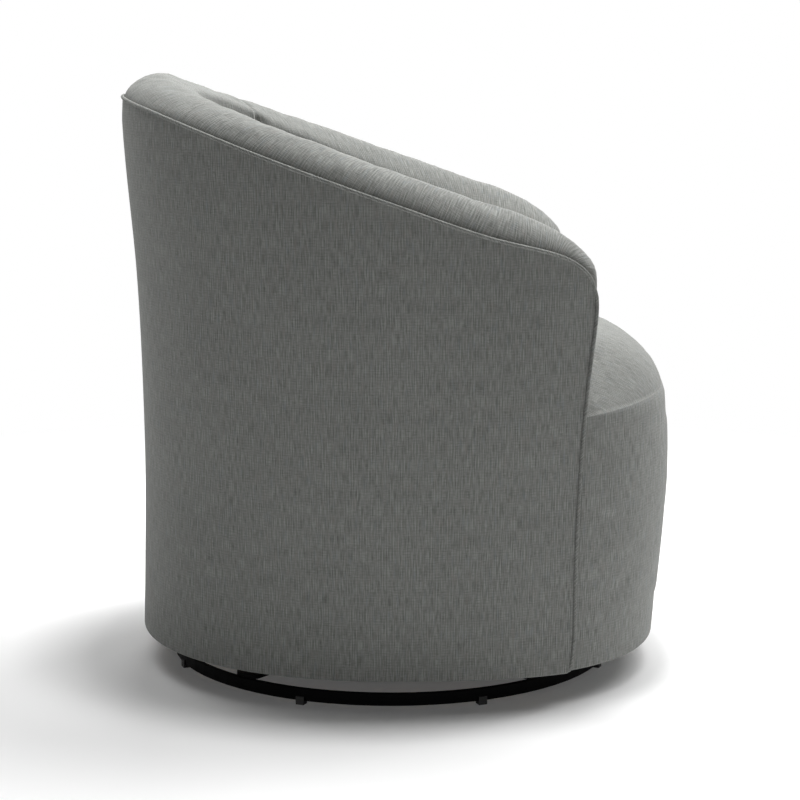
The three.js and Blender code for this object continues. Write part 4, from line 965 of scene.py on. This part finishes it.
# Studio
studio = {
    "floorSize": 14.0, "plainRadius": (1.15, 1.9), "ambient": 0.0, "floorHaze": 0.075,
    "lampDistance": 4.0, "lampTarget": (0, 0, 0.35),
    "lamps": {
        "overhead": {"turn": 0, "lift": 88, "size": 0.6, "power": 84.0},
        "front": {"turn": 30, "lift": 58, "size": 1.6, "power": 28.0},
        "lowFront": {"turn": 18, "lift": 45, "size": 1.6, "power": 45.0},
        "farFront": {"turn": 45, "lift": 66, "size": 1.7, "power": 76.0},
        "farSide": {"turn": 90, "lift": 22, "size": 1.6, "power": 44.6},
        "farRear": {"turn": 135, "lift": 45, "size": 1.6, "power": 27.0},
        "highRear": {"turn": 135, "lift": 68, "size": 1.6, "power": 13.0},
        "rear": {"turn": 180, "lift": 68, "size": 1.6, "power": 9.0},
    },
}


def makeFloor(plan):
    mesh = bpy.data.meshes.new("floor")
    half = plan["floorSize"] / 2
    corners = [(-half, -half, 0), (half, -half, 0), (half, half, 0), (-half, half, 0)]
    mesh.from_pydata(corners, [], [(0, 1, 2, 3)])
    floor = bpy.data.objects.new("floor", mesh)
    bpy.context.scene.collection.objects.link(floor)
    n = Nodes("whiteFloor")
    place = n.add("ShaderNodeTexCoord").outputs["Object"]
    distance = n.add("ShaderNodeVectorMath", {0: place}, operation="LENGTH").outputs["Value"]
    plain = n.add("ShaderNodeMapRange", {0: distance, 1: plan["plainRadius"][0], 2: plan["plainRadius"][1]},
                  interpolation_type="SMOOTHSTEP").outputs[0]
    path = n.add("ShaderNodeLightPath").outputs
    mirrored = n.math("MAXIMUM", path["Is Glossy Ray"], path["Is Transmission Ray"])
    seen = n.math("MAXIMUM", path["Is Camera Ray"], mirrored)
    white = n.add("ShaderNodeEmission", {"Color": (1, 1, 1, 1), "Strength": 1.0}).outputs[0]
    n.finish(color=(0.93, 0.93, 0.93, 1), rough=0.9, specular=0.1)
    haze = n.math("MULTIPLY", path["Is Camera Ray"], plan["floorHaze"])
    lifted = n.add("ShaderNodeAddShader", {0: n.shader.outputs[0]})
    n.tree.links.new(n.add("ShaderNodeEmission", {"Strength": haze}).outputs[0], lifted.inputs[1])
    mix = n.add("ShaderNodeMixShader", {0: n.math("MULTIPLY", plain, seen), 1: lifted.outputs[0], 2: white})
    n.tree.links.new(mix.outputs[0], n.tree.nodes["Material Output"].inputs["Surface"])
    mesh.materials.append(n.material)


def makeWorld(ambient):
    world = bpy.data.worlds.new("studio")
    bpy.context.scene.world = world
    world.use_nodes = True
    tree = world.node_tree
    background = tree.nodes["Background"]
    background.inputs["Color"].default_value = (1, 1, 1, 1)
    path = tree.nodes.new("ShaderNodeLightPath")
    seen = path.outputs["Is Camera Ray"]
    for ray in ("Is Glossy Ray", "Is Transmission Ray"):
        larger = tree.nodes.new("ShaderNodeMath")
        larger.operation = "MAXIMUM"
        tree.links.new(seen, larger.inputs[0])
        tree.links.new(path.outputs[ray], larger.inputs[1])
        seen = larger.outputs[0]
    strength = tree.nodes.new("ShaderNodeMapRange")
    tree.links.new(seen, strength.inputs[0])
    strength.inputs[3].default_value = ambient
    strength.inputs[4].default_value = 1.0
    tree.links.new(strength.outputs[0], background.inputs["Strength"])


def makeLamp(name, plan):
    data = bpy.data.lights.new(name, "AREA")
    data.size = plan["size"]
    data.energy = plan["power"]
    lamp = bpy.data.objects.new(name, data)
    turn, lift = math.radians(plan["turn"]), math.radians(plan["lift"])
    target = Vector(studio["lampTarget"])
    direction = Vector((math.sin(turn) * math.cos(lift), -math.cos(turn) * math.cos(lift), math.sin(lift)))
    lamp.location = target + direction * studio["lampDistance"]
    towards = target - lamp.location
    lamp.rotation_euler = towards.to_track_quat("-Z", "Y").to_euler()
    bpy.context.scene.collection.objects.link(lamp)


makeFloor(studio)
makeWorld(studio["ambient"])
for name, plan in studio["lamps"].items():
    makeLamp(name, plan)
print("studio made")
